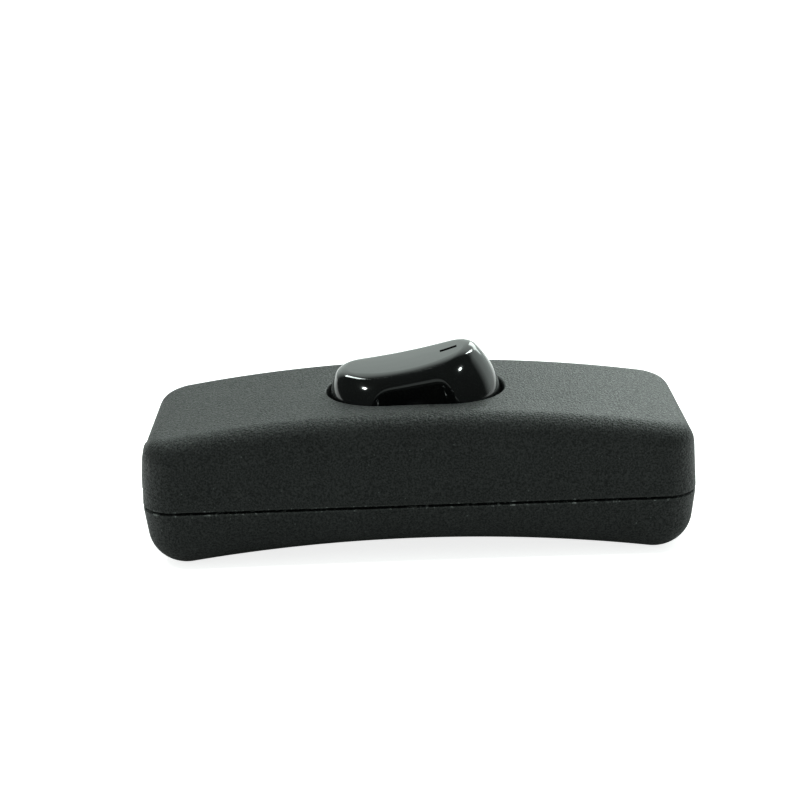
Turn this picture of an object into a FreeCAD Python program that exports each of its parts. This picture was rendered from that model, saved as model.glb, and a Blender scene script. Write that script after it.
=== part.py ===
import FreeCAD, Part
import math
import os
from FreeCAD import Vector

# An inline cord switch: two arched half shells screwed together from below, with a rocker that
# stands in the top. Inside, a sprung plunger in the rocker tips a brass seesaw on to a contact.
# Millimetres. x runs along the cord, y across it, and z up from the table under the two feet.
# The rocker is drawn level and then tilted to its OFF stop, where the +x end stands up.

# Housing, outside
body_length = 62.0
body_width = 24.45
corner_radius = 3.95
parting_height = 7.25          # from the table to the plane where the shells meet
top_height = 17.45             # from the table to the middle of the arched top
top_arch_radius = 170.6
underside_arch_radius = 170.0
upper_draft = 2.76             # degrees
lower_draft = 6.93
top_edge_radius = 2.62
foot_radius = 4.5
wall = 1.8
inner_edge = 1.0               # chamfer where the inside of a wall meets the roof or the floor

# Joint between the shells
shadow_gap = 0.3
tongue_thickness = 0.8
tongue_height = 1.0
tongue_root = 1.4
tongue_clearance = 0.1

# Cord inlets in the two ends
cord_bore_radius = 3.0
collar_radius = 4.2
collar_stand = 0.7             # how far the collar stands out of the end wall
collar_depth = 3.3             # how far it reaches in from the end of the body
collar_edge = 0.35             # chamfer
gusset_width = 1.5
gusset_share = 0.885           # its top, as a share of the way up the end of the body
gusset_run = 1.4               # how far its top lies in from the end of the body

# Rocker, in its own frame: origin on the pivot, level
pivot_depth = 2.6              # below the middle of the housing's top
rocker_travel = 20.0           # degrees from OFF to ON
end_arc_radius = 10.0          # the two ends are arcs about the pivot
end_centre = 2.85
rocker_half_width = 6.85
skirt_depth = 1.0
blank_height = 8.0             # the end arcs are drawn this far up before the saddle is cut
saddle_height = 5.7
saddle_radius = 41.0
crown_radius = 25.0
scoop_half_width = 5.4
scoop_long_radius = 47.0
scoop_tall_radius = 14.8
scoop_height = 0.1
rocker_edge_radius = 0.8
scoop_edge_radius = 0.35
rocker_cavity_half_width = 4.35
rocker_cavity_half_length = 8.0
rocker_roof = 2.2
web_thickness = 1.2
mark_start = 4.2
mark_length = 2.0
mark_width = 0.4
mark_depth = 0.25

# Opening round the rocker, and the bearings that hang below it
opening_gap = 0.2              # past the rocker's widest reach at each end
opening_side_gap = 0.25
opening_edge = 0.25
well_thickness = 1.1
well_height = 1.0              # from the pivot's height to the well's lower edge
trunnion_radius = 1.5
trunnion_reach = 8.8
trunnion_edge = 0.3
bearing_clearance = 0.05
bearing_thickness = 1.8
bearing_radius = 3.3
snap_slot_width = 2.7

# Plunger and spring, on the rocker's own centre line
guide_bore_radius = 1.5
guide_radius = 2.5
guide_gap = 1.2                # from its lower end to the centre of the plunger's tip
plunger_clearance = 0.05
plunger_neck = 0.7             # from the shoulder to the centre of the tip
barrel_share = 0.372           # the barrel's share of the room above the shoulder
plunger_tip_radius = 1.2
plunger_gap = 0.05             # to the seesaw, at mid travel
spring_wire_radius = 0.2
spring_clearance = 0.15
spring_turns = 5
spring_steps = 12              # straight runs in one turn
spring_sides = 6

# Seesaw contact
seesaw_travel = 16.0           # degrees
seesaw_rise = 2.5              # from the bed to the tilting axis
seesaw_length = 15.2
seesaw_width = 4.4
seesaw_thickness = 0.9
seesaw_lift = 0.1              # underside above the tilting axis
seesaw_corner = 1.2
knife_radius = 0.4
knife_clearance = 0.05
horn_width = 0.8
horn_gap = 0.3
horn_rise = 1.6
contact_offset = 6.2
contact_radius = 1.4
contact_head = 0.55
contact_dome = 0.2
rivet_shank_radius = 0.7
rivet_clearance = 0.03
rivet_upset = 0.2
rivet_upset_radius = 1.0
contact_gap = 0.06             # left between the closed contacts

# Terminals
bed_rise = 0.132               # the flat bed's height over the middle of the arched floor
bed_margin = 0.7               # past the terminal blocks
strip_thickness = 0.6
strip_width = 2.6
branch_width = 3.6
pillar_offset = 14.2
pillar_length = 6.0
pillar_width = 4.4
pillar_height = 6.2
pillar_edge = 0.4
wire_hole_radius = 1.25
wire_hole_height = 3.5
terminal_shank_radius = 1.2
terminal_head_radius = 1.9
terminal_head_height = 1.4
terminal_head_gap = 0.2
thread_clearance = 0.05
terminal_tip_gap = 0.3

# Walls inside the lower shell
stop_offset = 9.6
stop_thickness = 1.2
stop_gap = 0.05
barrier_thickness = 1.0
barrier_height = 4.0

# Cord clamps
clamp_head_gap = 0.07          # between the hump and a screw's head
clamp_bore_radius = 3.0
clamp_length = 5.2
clamp_thickness = 1.6
hump_share = 0.393             # of the room between the cord and the roof
clamp_edge = 0.3
cradle_thickness = 2.2
post_radius = 2.2
post_height = 7.9
clamp_hole_radius = 1.2
clamp_shank_radius = 1.0
clamp_head_radius = 1.85
clamp_head_height = 1.3
clamp_screw_length = 5.4

# Housing screws, put in from below
boss_gap = 0.1                 # between a lower boss and the rocker's stop
upper_boss_radius = 2.7
lower_boss_radius = 3.3
screw_hole_radius = 1.5
counterbore_radius = 2.8
head_seat_height = 3.1
housing_head_radius = 2.5
housing_head_height = 1.4
housing_shank_radius = 1.3
housing_screw_length = 9.0
boss_seam = 0.02

# Screw heads
slot_width = 0.6
slot_depth_share = 0.5
head_edge = 0.45
terminal_slot_turn = 53        # degrees, as each screw happened to stop
clamp_slot_turn = 25
clamp_slot_row_turn = 40
housing_slot_turn = 35

LENGTHWISE = Vector(1, 0, 0)
ACROSS = Vector(0, 1, 0)
UP = Vector(0, 0, 1)
ORIGIN = Vector(0, 0, 0)
SIDES = {"left": -1, "right": 1}


def tan_deg(angle):
    return math.tan(math.radians(angle))


def underside_height():
    """The height of the underside's middle, when both rounded feet just touch the table."""
    lean = math.radians(lower_draft)
    foot_x = body_length / 2 - (parting_height - foot_radius) * math.tan(lean)
    foot_x -= foot_radius / math.cos(lean)
    rise = math.sqrt((underside_arch_radius + foot_radius) ** 2 - foot_x ** 2)
    return foot_radius - rise + underside_arch_radius


def arch_drop(x):
    """How far the arched top lies below its middle at x."""
    return top_arch_radius - math.sqrt(top_arch_radius ** 2 - x ** 2)


pivot_height = top_height - pivot_depth
far = body_length + body_width
opening_half_length = end_arc_radius + opening_gap
opening_half_width = rocker_half_width + opening_side_gap
bearing_hole_radius = trunnion_radius + bearing_clearance

# Heights inside, from the bed up to the plunger in the rocker
bed_height = underside_height() + wall + bed_rise
strip_top = bed_height + strip_thickness
seesaw_axis = bed_height + seesaw_rise
seesaw_top = seesaw_lift + seesaw_thickness
plunger_tip_centre = pivot_height - seesaw_axis - seesaw_top - plunger_gap - plunger_tip_radius
guide_reach = plunger_tip_centre - guide_gap
guide_end = saddle_height - rocker_roof - web_thickness
plunger_shoulder = plunger_neck - plunger_tip_centre
plunger_top = plunger_shoulder + barrel_share * (guide_end - plunger_shoulder)

# Places inside, along and across. The switched conductor is at live_row, the through one at -y.
bed_edge = body_width / 2 - wall - (parting_height - bed_height) * tan_deg(lower_draft)
live_row = (lower_boss_radius + bed_edge) / 2
stop_half_width = live_row - pillar_width / 2
half_knife = seesaw_width / 2 + horn_gap + horn_width
barrier_offset = (half_knife + live_row - strip_width / 2) / 2
housing_screw_offset = stop_offset + stop_thickness / 2 + lower_boss_radius + boss_gap
bed_half_length = pillar_offset + pillar_length / 2 + bed_margin
clamp_offset = (pillar_offset + pillar_length / 2 + body_length / 2 - collar_depth) / 2
roof_at_clamp = top_height - wall - arch_drop(clamp_offset + clamp_length / 2)
clamp_hump = hump_share * (roof_at_clamp - parting_height - clamp_bore_radius)
clamp_seat = post_height + clamp_thickness - parting_height
hump_half_width = math.sqrt((clamp_bore_radius + clamp_hump) ** 2 - clamp_seat ** 2)
clamp_screw_row = hump_half_width + clamp_head_gap + clamp_head_radius
clamp_half_width = clamp_screw_row + post_radius
end_height = top_height - arch_drop(body_length / 2 - gusset_run)
gusset_top = gusset_share * (end_height - parting_height)


def box(x_range, y_range, z_range):
    """A block between two x, two y and two z values."""
    corner = Vector(x_range[0], y_range[0], z_range[0])
    size = [span[1] - span[0] for span in (x_range, y_range, z_range)]
    return Part.makeBox(size[0], size[1], size[2], corner)


def rod(radius, start, end):
    """A round bar from one point to another."""
    return Part.makeCylinder(radius, (end - start).Length, start, end - start)


def joined(first, *others):
    """One solid from several that touch or overlap."""
    return first.fuse(list(others)).removeSplitter()


def closed_wire(corners):
    return Part.makePolygon(list(corners) + [corners[0]])


def plate(corners, thickness_vector):
    """A flat outline given by its corners, made into a solid along a vector."""
    return Part.Face(closed_wire(corners)).extrude(thickness_vector)


def turned(corners, centre, axis):
    """An outline turned once round an axis."""
    return Part.Face(closed_wire(corners)).revolve(centre, axis, 360)


def mirrored(shape):
    """The same shape at the other end of the switch."""
    return shape.mirror(ORIGIN, LENGTHWISE)


def rounded_outline(length, width, corner, z):
    """A rectangle with round corners, as a wire at height z."""
    half_x = length / 2 - corner
    half_y = width / 2 - corner
    edges = []
    ends = []
    for quarter in range(4):
        start = math.radians(90 * quarter)
        cx = half_x if quarter in (0, 3) else -half_x
        cy = half_y if quarter in (0, 1) else -half_y
        points = []
        for step in range(3):
            angle = start + math.radians(45 * step)
            points.append(Vector(cx + corner * math.cos(angle), cy + corner * math.sin(angle), z))
        edges.append(Part.Arc(points[0], points[1], points[2]).toShape())
        ends.append((points[0], points[2]))
    for quarter in range(4):
        here = ends[quarter][1]
        there = ends[(quarter + 1) % 4][0]
        if (there - here).Length > 1e-6:
            edges.append(Part.makeLine(here, there))
    return Part.Wire(Part.__sortEdges__(edges))


def stadium(half_length, half_width, z_range):
    """An upright block with round ends."""
    outline = rounded_outline(2 * half_length, 2 * half_width, half_width, z_range[0])
    return Part.Face(outline).extrude(UP * (z_range[1] - z_range[0]))


def tapered_block(inset, draft, z_end):
    """The body's plan outline at the parting plane, narrowing by the draft up or down to z_end."""
    taper = abs(z_end - parting_height) * tan_deg(draft)
    near = corner_radius - inset
    off = near - taper
    half_x = body_length / 2 - corner_radius
    half_y = body_width / 2 - corner_radius
    lengthwise = plate([
        Vector(-half_x - near, -half_y, parting_height), Vector(half_x + near, -half_y, parting_height),
        Vector(half_x + off, -half_y, z_end), Vector(-half_x - off, -half_y, z_end)],
        ACROSS * 2 * half_y)
    across = plate([
        Vector(-half_x, -half_y - near, parting_height), Vector(-half_x, half_y + near, parting_height),
        Vector(-half_x, half_y + off, z_end), Vector(-half_x, -half_y - off, z_end)],
        LENGTHWISE * 2 * half_x)
    upwards = z_end > parting_height
    corners = []
    for side in (-1, 1):
        for row in (-1, 1):
            foot = Vector(side * half_x, row * half_y, min(parting_height, z_end))
            low, high = (near, off) if upwards else (off, near)
            corners.append(Part.makeCone(low, high, abs(z_end - parting_height), foot))
    return joined(lengthwise, across, *corners)


def arched_block(radius, middle_height, level):
    """Everything between an arch along x and a flat level."""
    reach = body_length
    drop = radius - math.sqrt(radius ** 2 - reach ** 2)
    left = Vector(-reach, -far, middle_height - drop)
    middle = Vector(0, -far, middle_height)
    right = Vector(reach, -far, middle_height - drop)
    low_right = Vector(reach, -far, level)
    low_left = Vector(-reach, -far, level)
    arch = Part.Arc(left, middle, right).toShape()
    straight = Part.makePolygon([right, low_right, low_left, left])
    return Part.Face(Part.Wire([arch] + straight.Edges)).extrude(ACROSS * 2 * far)


def arch_edges(form, radius):
    """The edges round the arched face of a form."""
    for face in form.Faces:
        if isinstance(face.Surface, Part.Cylinder) and abs(face.Surface.Radius - radius) < 1e-6:
            return face.Edges


def upper_form(inset):
    """The upper shell's outer form, taken in by inset, with a round edge."""
    radius = top_arch_radius - inset
    form = sharp_upper_form(inset)
    return form.makeFillet(top_edge_radius - inset, arch_edges(form, radius))


def sharp_upper_form(inset):
    block = tapered_block(inset, upper_draft, top_height)
    return block.common(arched_block(top_arch_radius - inset, top_height - inset, -far))


def lower_form(inset):
    """The lower shell's outer form, taken in by inset, with a round foot."""
    radius = underside_arch_radius + inset
    form = sharp_lower_form(inset)
    return form.makeFillet(foot_radius - inset, arch_edges(form, radius))


def sharp_lower_form(inset):
    block = tapered_block(inset, lower_draft, inset - foot_radius)
    return block.common(arched_block(underside_arch_radius + inset, underside_height() + inset, far))


def upper_cavity():
    """What the upper shell's walls leave free, with a chamfered edge."""
    form = sharp_upper_form(wall)
    return form.makeChamfer(inner_edge, arch_edges(form, top_arch_radius - wall))


def lower_cavity():
    """What the lower shell's walls leave free, with a chamfered edge."""
    form = sharp_lower_form(wall)
    return form.makeChamfer(inner_edge, arch_edges(form, underside_arch_radius + wall))


def above(z):
    return box((-far, far), (-far, far), (z, far))


def below(z):
    return box((-far, far), (-far, far), (-far, z))


def collar():
    """The ring round the cord at the right end, with the gusset on top of it."""
    outer_x = body_length / 2 + collar_stand
    inner_x = body_length / 2 - collar_depth
    ring = rod(collar_radius, Vector(inner_x, 0, parting_height), Vector(outer_x, 0, parting_height))
    rim = [edge for edge in ring.Edges if edge.BoundBox.XMin > outer_x - 1e-6]
    ring = ring.makeChamfer(collar_edge, rim)
    peak = parting_height + gusset_top
    foot = parting_height + collar_radius - collar_edge
    root_x = body_length / 2 - gusset_run
    gusset = plate([
        Vector(root_x, -gusset_width / 2, peak),
        Vector(outer_x - collar_edge / 2, -gusset_width / 2, foot),
        Vector(outer_x - collar_edge / 2, -gusset_width / 2, parting_height),
        Vector(root_x, -gusset_width / 2, parting_height)], ACROSS * gusset_width)
    return ring, gusset


def cord_bores(radius):
    """What both inlets cut out of the shells."""
    inner = body_length / 2 - collar_depth
    outer = body_length / 2 + collar_stand
    right = rod(radius, Vector(inner, 0, parting_height), Vector(outer, 0, parting_height))
    return right, mirrored(right)


def bearing(side):
    """A hanging ear with a snap-in hole for one of the rocker's trunnions."""
    inner = opening_half_width
    outer = inner + bearing_thickness
    span = (min(side * inner, side * outer), max(side * inner, side * outer))
    arm = box((-bearing_radius, bearing_radius), span, (pivot_height, top_height - wall / 2))
    centre = Vector(0, span[0], pivot_height)
    nose = rod(bearing_radius, centre, centre + ACROSS * bearing_thickness)
    return joined(arm, nose)


def bearing_cuts():
    """The trunnion holes and the narrower slots that they are pressed in through."""
    reach = opening_half_width + bearing_thickness
    inner = opening_half_width
    cuts = []
    for side in (-1, 1):
        start = Vector(0, side * inner, pivot_height)
        cuts.append(rod(bearing_hole_radius, start, Vector(0, side * reach, pivot_height)))
        span = (min(side * inner, side * reach), max(side * inner, side * reach))
        cuts.append(box((-snap_slot_width / 2, snap_slot_width / 2), span,
                        (pivot_height - bearing_radius - 1, pivot_height)))
    return cuts


def upper_shell():
    """The arched cover with the rocker's opening, its bearings and the screw bosses."""
    shell = upper_form(0).cut(upper_cavity())
    rebate = sharp_upper_form(wall - tongue_thickness - tongue_clearance)
    rebate_top = parting_height + tongue_height + tongue_clearance
    shell = shell.cut(rebate.common(below(rebate_top)))

    roof = top_height - wall / 2
    well_foot = pivot_height + well_height
    well = stadium(opening_half_length + well_thickness, opening_half_width + well_thickness,
                   (well_foot, roof - wall / 4))
    inside = [bearing(side) for side in (-1, 1)] + [well]
    for side in (-1, 1):
        foot = Vector(side * housing_screw_offset, 0, parting_height + boss_seam)
        inside.append(rod(upper_boss_radius, foot, foot + UP * (roof - foot.z)))
    room = upper_form(wall / 2)
    shell = shell.fuse([piece.common(room) for piece in inside])

    ring, gusset = collar()
    ring = joined(ring, gusset)
    shell = shell.fuse([ring, mirrored(ring)])
    shell = shell.cut(stadium(opening_half_length, opening_half_width, (well_foot - 1, far)))
    shell = shell.cut(bearing_cuts())
    shell = shell.cut(list(cord_bores(cord_bore_radius)))
    for side in (-1, 1):
        foot = Vector(side * housing_screw_offset, 0, parting_height)
        depth = head_seat_height + housing_screw_length - parting_height + thread_clearance
        hole = rod(housing_shank_radius + thread_clearance, foot, foot + UP * depth)
        shell = shell.cut(hole)
    bosses = []
    for side in (-1, 1):
        foot = Vector(side * housing_screw_offset, 0, parting_height)
        bosses.append(rod(upper_boss_radius, foot, foot + UP * shadow_gap))
    shell = shell.cut(below(parting_height + shadow_gap / 2).cut(bosses)).removeSplitter()
    return shell.makeChamfer(opening_edge, opening_rim(shell))


def opening_rim(shell):
    """The edges where the rocker's opening breaks through the arched top."""
    edges = []
    for edge in shell.Edges:
        limits = edge.BoundBox
        inside = limits.XMax < opening_half_length + opening_edge
        inside = inside and limits.XMin > -opening_half_length - opening_edge
        inside = inside and abs(limits.YMax) < opening_half_width + opening_edge
        if inside and limits.ZMin > top_height - wall / 2:
            edges.append(edge)
    return edges


def lower_shell():
    """The arched base with the bed for the terminals, the stops, posts and screw holes."""
    shell = lower_form(0).cut(lower_cavity()).common(below(parting_height - shadow_gap / 2))
    tongue_top = parting_height + tongue_height
    inset = wall - tongue_thickness
    tongue_range = (parting_height - tongue_root, tongue_top)
    outside = rounded_outline(body_length - 2 * inset, body_width - 2 * inset,
                              corner_radius - inset, tongue_range[0])
    inside = rounded_outline(body_length - 2 * wall, body_width - 2 * wall,
                             corner_radius - wall, tongue_range[0])
    tongue = Part.Face(outside).cut(Part.Face(inside))
    tongue = tongue.extrude(UP * (tongue_range[1] - tongue_range[0]))
    tongue = tongue.cut(list(cord_bores(collar_radius + tongue_clearance)))

    room = lower_form(wall / 2)
    half_bed = body_width / 2 - wall / 2
    bed = box((-bed_half_length, bed_half_length), (-half_bed, half_bed), (-far, bed_height))
    rest_tilt = math.radians(rocker_travel / 2)
    reach = math.sqrt(end_arc_radius ** 2 - skirt_depth ** 2)
    stop_top = pivot_height - reach * math.sin(rest_tilt) - skirt_depth * math.cos(rest_tilt)
    walls = []
    for side in (-1, 1):
        x = side * stop_offset
        walls.append(box((x - stop_thickness / 2, x + stop_thickness / 2),
                         (-stop_half_width, stop_half_width),
                         (bed_height - wall / 2, stop_top - stop_gap)))
    walls.append(box((-stop_offset, stop_offset),
                     (-barrier_offset - barrier_thickness / 2, -barrier_offset + barrier_thickness / 2),
                     (bed_height - wall / 2, bed_height + barrier_height)))

    grounded = [bed]
    for side in (-1, 1):
        foot = Vector(side * housing_screw_offset, 0, 0)
        top = Vector(foot.x, 0, parting_height - boss_seam)
        grounded.append(rod(lower_boss_radius, foot, top))
        x = side * clamp_offset
        cradle = box((x - cradle_thickness / 2, x + cradle_thickness / 2),
                     (-clamp_screw_row, clamp_screw_row), (0, parting_height))
        grounded.append(cradle)
        for row in (-1, 1):
            base = Vector(x, row * clamp_screw_row, 0)
            grounded.append(rod(post_radius, base, base + UP * post_height))
    tall_room = room.fuse(stadium_room())
    grounded = [piece.common(tall_room) for piece in grounded]

    ring, _ = collar()
    half_ring = ring.common(below(parting_height - shadow_gap / 2))
    shell = shell.fuse([tongue, half_ring, mirrored(half_ring)] + grounded + walls)
    shell = shell.cut(list(cord_bores(cord_bore_radius)))
    for side in (-1, 1):
        x = side * clamp_offset
        shell = shell.cut(rod(clamp_bore_radius, Vector(x - clamp_length, 0, parting_height),
                              Vector(x + clamp_length, 0, parting_height)))
        for row in (-1, 1):
            top = Vector(x, row * clamp_screw_row, post_height)
            depth = clamp_screw_length - clamp_thickness + thread_clearance
            shell = shell.cut(rod(clamp_shank_radius + thread_clearance, top, top - UP * depth))
        axis = Vector(side * housing_screw_offset, 0, 0)
        shell = shell.cut([rod(counterbore_radius, axis - UP, axis + UP * head_seat_height),
                           rod(screw_hole_radius, axis, axis + UP * parting_height)])
    return shell.removeSplitter()


def stadium_room():
    """The room above the parting plane that posts of the lower shell may stand in."""
    margin = wall + tongue_clearance
    outline = rounded_outline(body_length - 2 * margin, body_width - 2 * margin,
                              corner_radius - margin, parting_height - tongue_root)
    return Part.Face(outline).extrude(UP * top_height)


def end_profile(z):
    """How far the rocker's round end reaches from its own centre at height z."""
    return math.sqrt(end_arc_radius ** 2 - z ** 2) - end_centre


def rocker_blank():
    """Two round ends and the middle between them, all with the same arc as their outline."""
    low = -skirt_depth
    high = blank_height
    middle = (low + high) / 2
    points = [Vector(end_centre + end_profile(z), 0, z) for z in (low, middle, high)]
    arc = Part.Arc(points[0], points[1], points[2]).toShape()
    rest = Part.makePolygon([points[2], Vector(end_centre, 0, high),
                             Vector(end_centre, 0, low), points[0]])
    outline = Part.Face(Part.Wire([arc] + rest.Edges))
    dome = outline.revolve(Vector(end_centre, 0, 0), UP, 360)

    right = [Vector(-end_centre, end_profile(z), z) for z in (low, middle, high)]
    left = [Vector(point.x, -point.y, point.z) for point in right]
    edges = [Part.Arc(right[0], right[1], right[2]).toShape(), Part.makeLine(right[2], left[2]),
             Part.Arc(left[2], left[1], left[0]).toShape(), Part.makeLine(left[0], right[0])]
    bar = Part.Face(Part.Wire(edges)).extrude(LENGTHWISE * 2 * end_centre)
    blank = joined(dome, mirrored(dome), bar)
    return blank.common(box((-far, far), (-rocker_half_width, rocker_half_width), (-far, far)))


def rocker_skin():
    """The rocker's outside: a saddle on top, and a scoop in each long side."""
    saddle = Part.makeTorus(saddle_radius + crown_radius, crown_radius,
                            UP * (saddle_height + saddle_radius), ACROSS)
    skin = rocker_blank().common(saddle)
    for side in (-1, 1):
        centre = Vector(0, side * (scoop_half_width + scoop_long_radius), scoop_height)
        skin = skin.cut(Part.makeTorus(scoop_long_radius - scoop_tall_radius,
                                       scoop_tall_radius, centre, UP))
    top_edges = torus_edges(skin, crown_radius)
    skin = skin.makeFillet(rocker_edge_radius, top_edges)
    folds = [edge for edge in torus_edges(skin, scoop_tall_radius)
             if edge.BoundBox.ZMax > scoop_height + 1 and edge.BoundBox.ZMin > scoop_height - 1]
    return skin.makeFillet(scoop_edge_radius, folds)


def torus_edges(shape, minor_radius):
    """The edges round every ring-shaped face of one minor radius."""
    edges = []
    for face in shape.Faces:
        if isinstance(face.Surface, Part.Toroid) and abs(face.Surface.MinorRadius - minor_radius) < 1e-6:
            edges.extend(face.Edges)
    return edges


def on_rocker(shape):
    """A shape drawn on the level rocker, tilted to the OFF stop and put on the pivot."""
    moved = shape.copy()
    moved.rotate(ORIGIN, ACROSS, -rocker_travel / 2)
    moved.translate(UP * pivot_height)
    return moved


def rocker():
    roof = saddle_height - rocker_roof
    body = rocker_skin().cut(stadium(rocker_cavity_half_length, rocker_cavity_half_width,
                                     (-far, roof)))
    guide = rod(guide_radius, UP * -guide_reach, UP * (roof + wall / 4))
    web = box((-web_thickness / 2, web_thickness / 2),
              (-rocker_cavity_half_width - wall / 4, rocker_cavity_half_width + wall / 4),
              (-skirt_depth, roof + wall / 4))
    pins = []
    for side in (-1, 1):
        pin = rod(trunnion_radius, ACROSS * side * rocker_cavity_half_width,
                  ACROSS * side * trunnion_reach)
        tip = [edge for edge in pin.Edges if abs(edge.BoundBox.Center.y) > trunnion_reach - 1e-6]
        pin = pin.makeChamfer(trunnion_edge, tip)
        lobe = rod(trunnion_radius + web_thickness / 2, ACROSS * side * rocker_cavity_half_width,
                   ACROSS * side * (scoop_half_width + web_thickness / 4))
        pins.extend([pin, lobe])
    body = body.fuse([guide, web] + pins)
    body = body.cut(rod(guide_bore_radius, UP * -guide_reach, UP * guide_end))
    mark = box((mark_start, mark_start + mark_length), (-mark_width / 2, mark_width / 2), (0, far))
    floor = Part.makeTorus(saddle_radius + crown_radius + mark_depth, crown_radius,
                           UP * (saddle_height + saddle_radius), ACROSS)
    body = body.cut(mark.cut(floor).common(above(roof)))
    return on_rocker(body.removeSplitter())


def plunger():
    """The pin with a round tip that slides in the rocker's guide."""
    radius = guide_bore_radius - plunger_clearance
    barrel = turned([Vector(0, 0, plunger_top), Vector(radius, 0, plunger_top),
                     Vector(radius, 0, plunger_shoulder),
                     Vector(plunger_tip_radius, 0, -plunger_tip_centre),
                     Vector(0, 0, -plunger_tip_centre)], ORIGIN, UP)
    tip = Part.makeSphere(plunger_tip_radius, UP * -plunger_tip_centre)
    return on_rocker(joined(barrel, tip))


def plunger_spring():
    """A coil spring between the plunger's head and the end of the guide."""
    mean_radius = guide_bore_radius - spring_clearance - spring_wire_radius
    start = plunger_top + spring_wire_radius
    height = guide_end - spring_wire_radius - start
    count = spring_turns * spring_steps
    path = []
    for step in range(count + 1):
        angle = 2 * math.pi * step / spring_steps
        path.append(Vector(mean_radius * math.cos(angle), mean_radius * math.sin(angle),
                           start + height * step / count))
    along = (path[1] - path[0]).normalize()
    outward = along.cross(UP).normalize()
    upward = outward.cross(along)
    section = []
    for side in range(spring_sides):
        angle = 2 * math.pi * side / spring_sides
        offset = outward * math.cos(angle) + upward * math.sin(angle)
        section.append(path[0] + offset * spring_wire_radius)
    mitred = 1
    coil = Part.makePolygon(path).makePipeShell([closed_wire(section)], True, False, mitred)
    return on_rocker(coil)


def on_seesaw(shape):
    """A shape drawn on the level seesaw, tilted to rest on its right side."""
    moved = shape.copy()
    moved.rotate(ORIGIN, ACROSS, seesaw_travel / 2)
    moved.translate(UP * seesaw_axis)
    return moved


def contact_seesaw():
    """A brass plate with a groove that sits on the knife edge and a hole for the contact rivet."""
    outline = rounded_outline(seesaw_length, seesaw_width, seesaw_corner, seesaw_lift)
    body = Part.Face(outline).extrude(UP * seesaw_thickness)
    groove = rod(knife_radius + knife_clearance, ACROSS * -seesaw_width, ACROSS * seesaw_width)
    hole_foot = Vector(-contact_offset, 0, seesaw_lift)
    hole = rod(rivet_shank_radius + rivet_clearance, hole_foot, hole_foot + UP * seesaw_thickness)
    return on_seesaw(body.cut([groove, hole]))


def rivet(head_height, grip, at):
    """A contact rivet with its domed head up, its grip below and an upset foot."""
    dome_radius = (contact_radius ** 2 + contact_dome ** 2) / (2 * contact_dome)
    dome = Part.makeSphere(dome_radius, UP * (head_height - dome_radius))
    head = rod(contact_radius, ORIGIN, UP * head_height).common(dome)
    shank = rod(rivet_shank_radius, UP * -grip, ORIGIN)
    foot = rod(rivet_upset_radius, UP * (-grip - rivet_upset), UP * -grip)
    body = joined(head, shank, foot)
    body.translate(at)
    return body


def moving_contact():
    """The silver contact in the seesaw, with its head underneath."""
    body = rivet(contact_head, seesaw_thickness, ORIGIN)
    body.rotate(ORIGIN, ACROSS, 180)
    body.translate(Vector(-contact_offset, 0, seesaw_lift))
    return on_seesaw(body)


def closed_contact_point():
    """Where the moving contact's crown comes down to when the seesaw is on its left side."""
    tilt = math.radians(seesaw_travel / 2)
    crown = seesaw_lift - contact_head
    x = -contact_offset * math.cos(tilt) - crown * math.sin(tilt)
    z = seesaw_axis - contact_offset * math.sin(tilt) + crown * math.cos(tilt)
    return Vector(x, 0, z)


def fixed_contact():
    """The silver contact that the moving one comes down on."""
    point = closed_contact_point()
    head = point.z - contact_gap - strip_top
    return rivet(head, strip_thickness, Vector(point.x, 0, strip_top)).common(above(bed_height))


def pillar(side, row):
    """A brass terminal block: a hole along x for the wire and a screw hole from above."""
    x = side * pillar_offset
    span_x = (x - pillar_length / 2, x + pillar_length / 2)
    span_y = (row - pillar_width / 2, row + pillar_width / 2)
    top = bed_height + pillar_height
    block = box(span_x, span_y, (bed_height, top))
    upright = [edge for edge in block.Edges if edge.BoundBox.ZLength > pillar_height / 2]
    block = block.makeChamfer(pillar_edge, upright)
    wire = bed_height + wire_hole_height
    along = rod(wire_hole_radius, Vector(span_x[0], row, wire), Vector(span_x[1], row, wire))
    down = rod(terminal_shank_radius + thread_clearance, Vector(x, row, wire), Vector(x, row, top))
    return block, [along, down]


def strip(x_range, y_range):
    """A flat brass strip on the bed."""
    return box(x_range, y_range, (bed_height, strip_top))


def common_terminal():
    """The right-hand terminal block, its strip, and the knife edge that the seesaw tilts on."""
    block, holes = pillar(1, live_row)
    run = strip((-branch_width / 2, pillar_offset),
                (live_row - strip_width / 2, live_row + strip_width / 2))
    branch = strip((-branch_width / 2, branch_width / 2), (-half_knife, live_row))
    blade = box((-knife_radius, knife_radius), (-half_knife, half_knife), (bed_height, seesaw_axis))
    edge = rod(knife_radius, Vector(0, -half_knife, seesaw_axis), Vector(0, half_knife, seesaw_axis))
    horns = []
    for side in (-1, 1):
        inner = side * (seesaw_width / 2 + horn_gap)
        outer = side * half_knife
        horns.append(box((-branch_width / 2, branch_width / 2), (min(inner, outer), max(inner, outer)),
                         (bed_height, seesaw_axis + horn_rise)))
    return joined(block, run, branch, blade, edge, *horns).cut(holes)


def switched_terminal():
    """The left-hand terminal block and the strip that carries the fixed contact."""
    block, holes = pillar(-1, live_row)
    point = closed_contact_point()
    pad = (point.x - branch_width / 2, point.x + branch_width / 2)
    run = strip((-pillar_offset, pad[1]), (live_row - strip_width / 2, live_row + strip_width / 2))
    branch = strip(pad, (-branch_width / 2, live_row))
    hole_radius = rivet_shank_radius + rivet_clearance
    hole = rod(hole_radius, Vector(point.x, 0, bed_height), Vector(point.x, 0, strip_top))
    return joined(block, run, branch).cut(holes + [hole])


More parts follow.
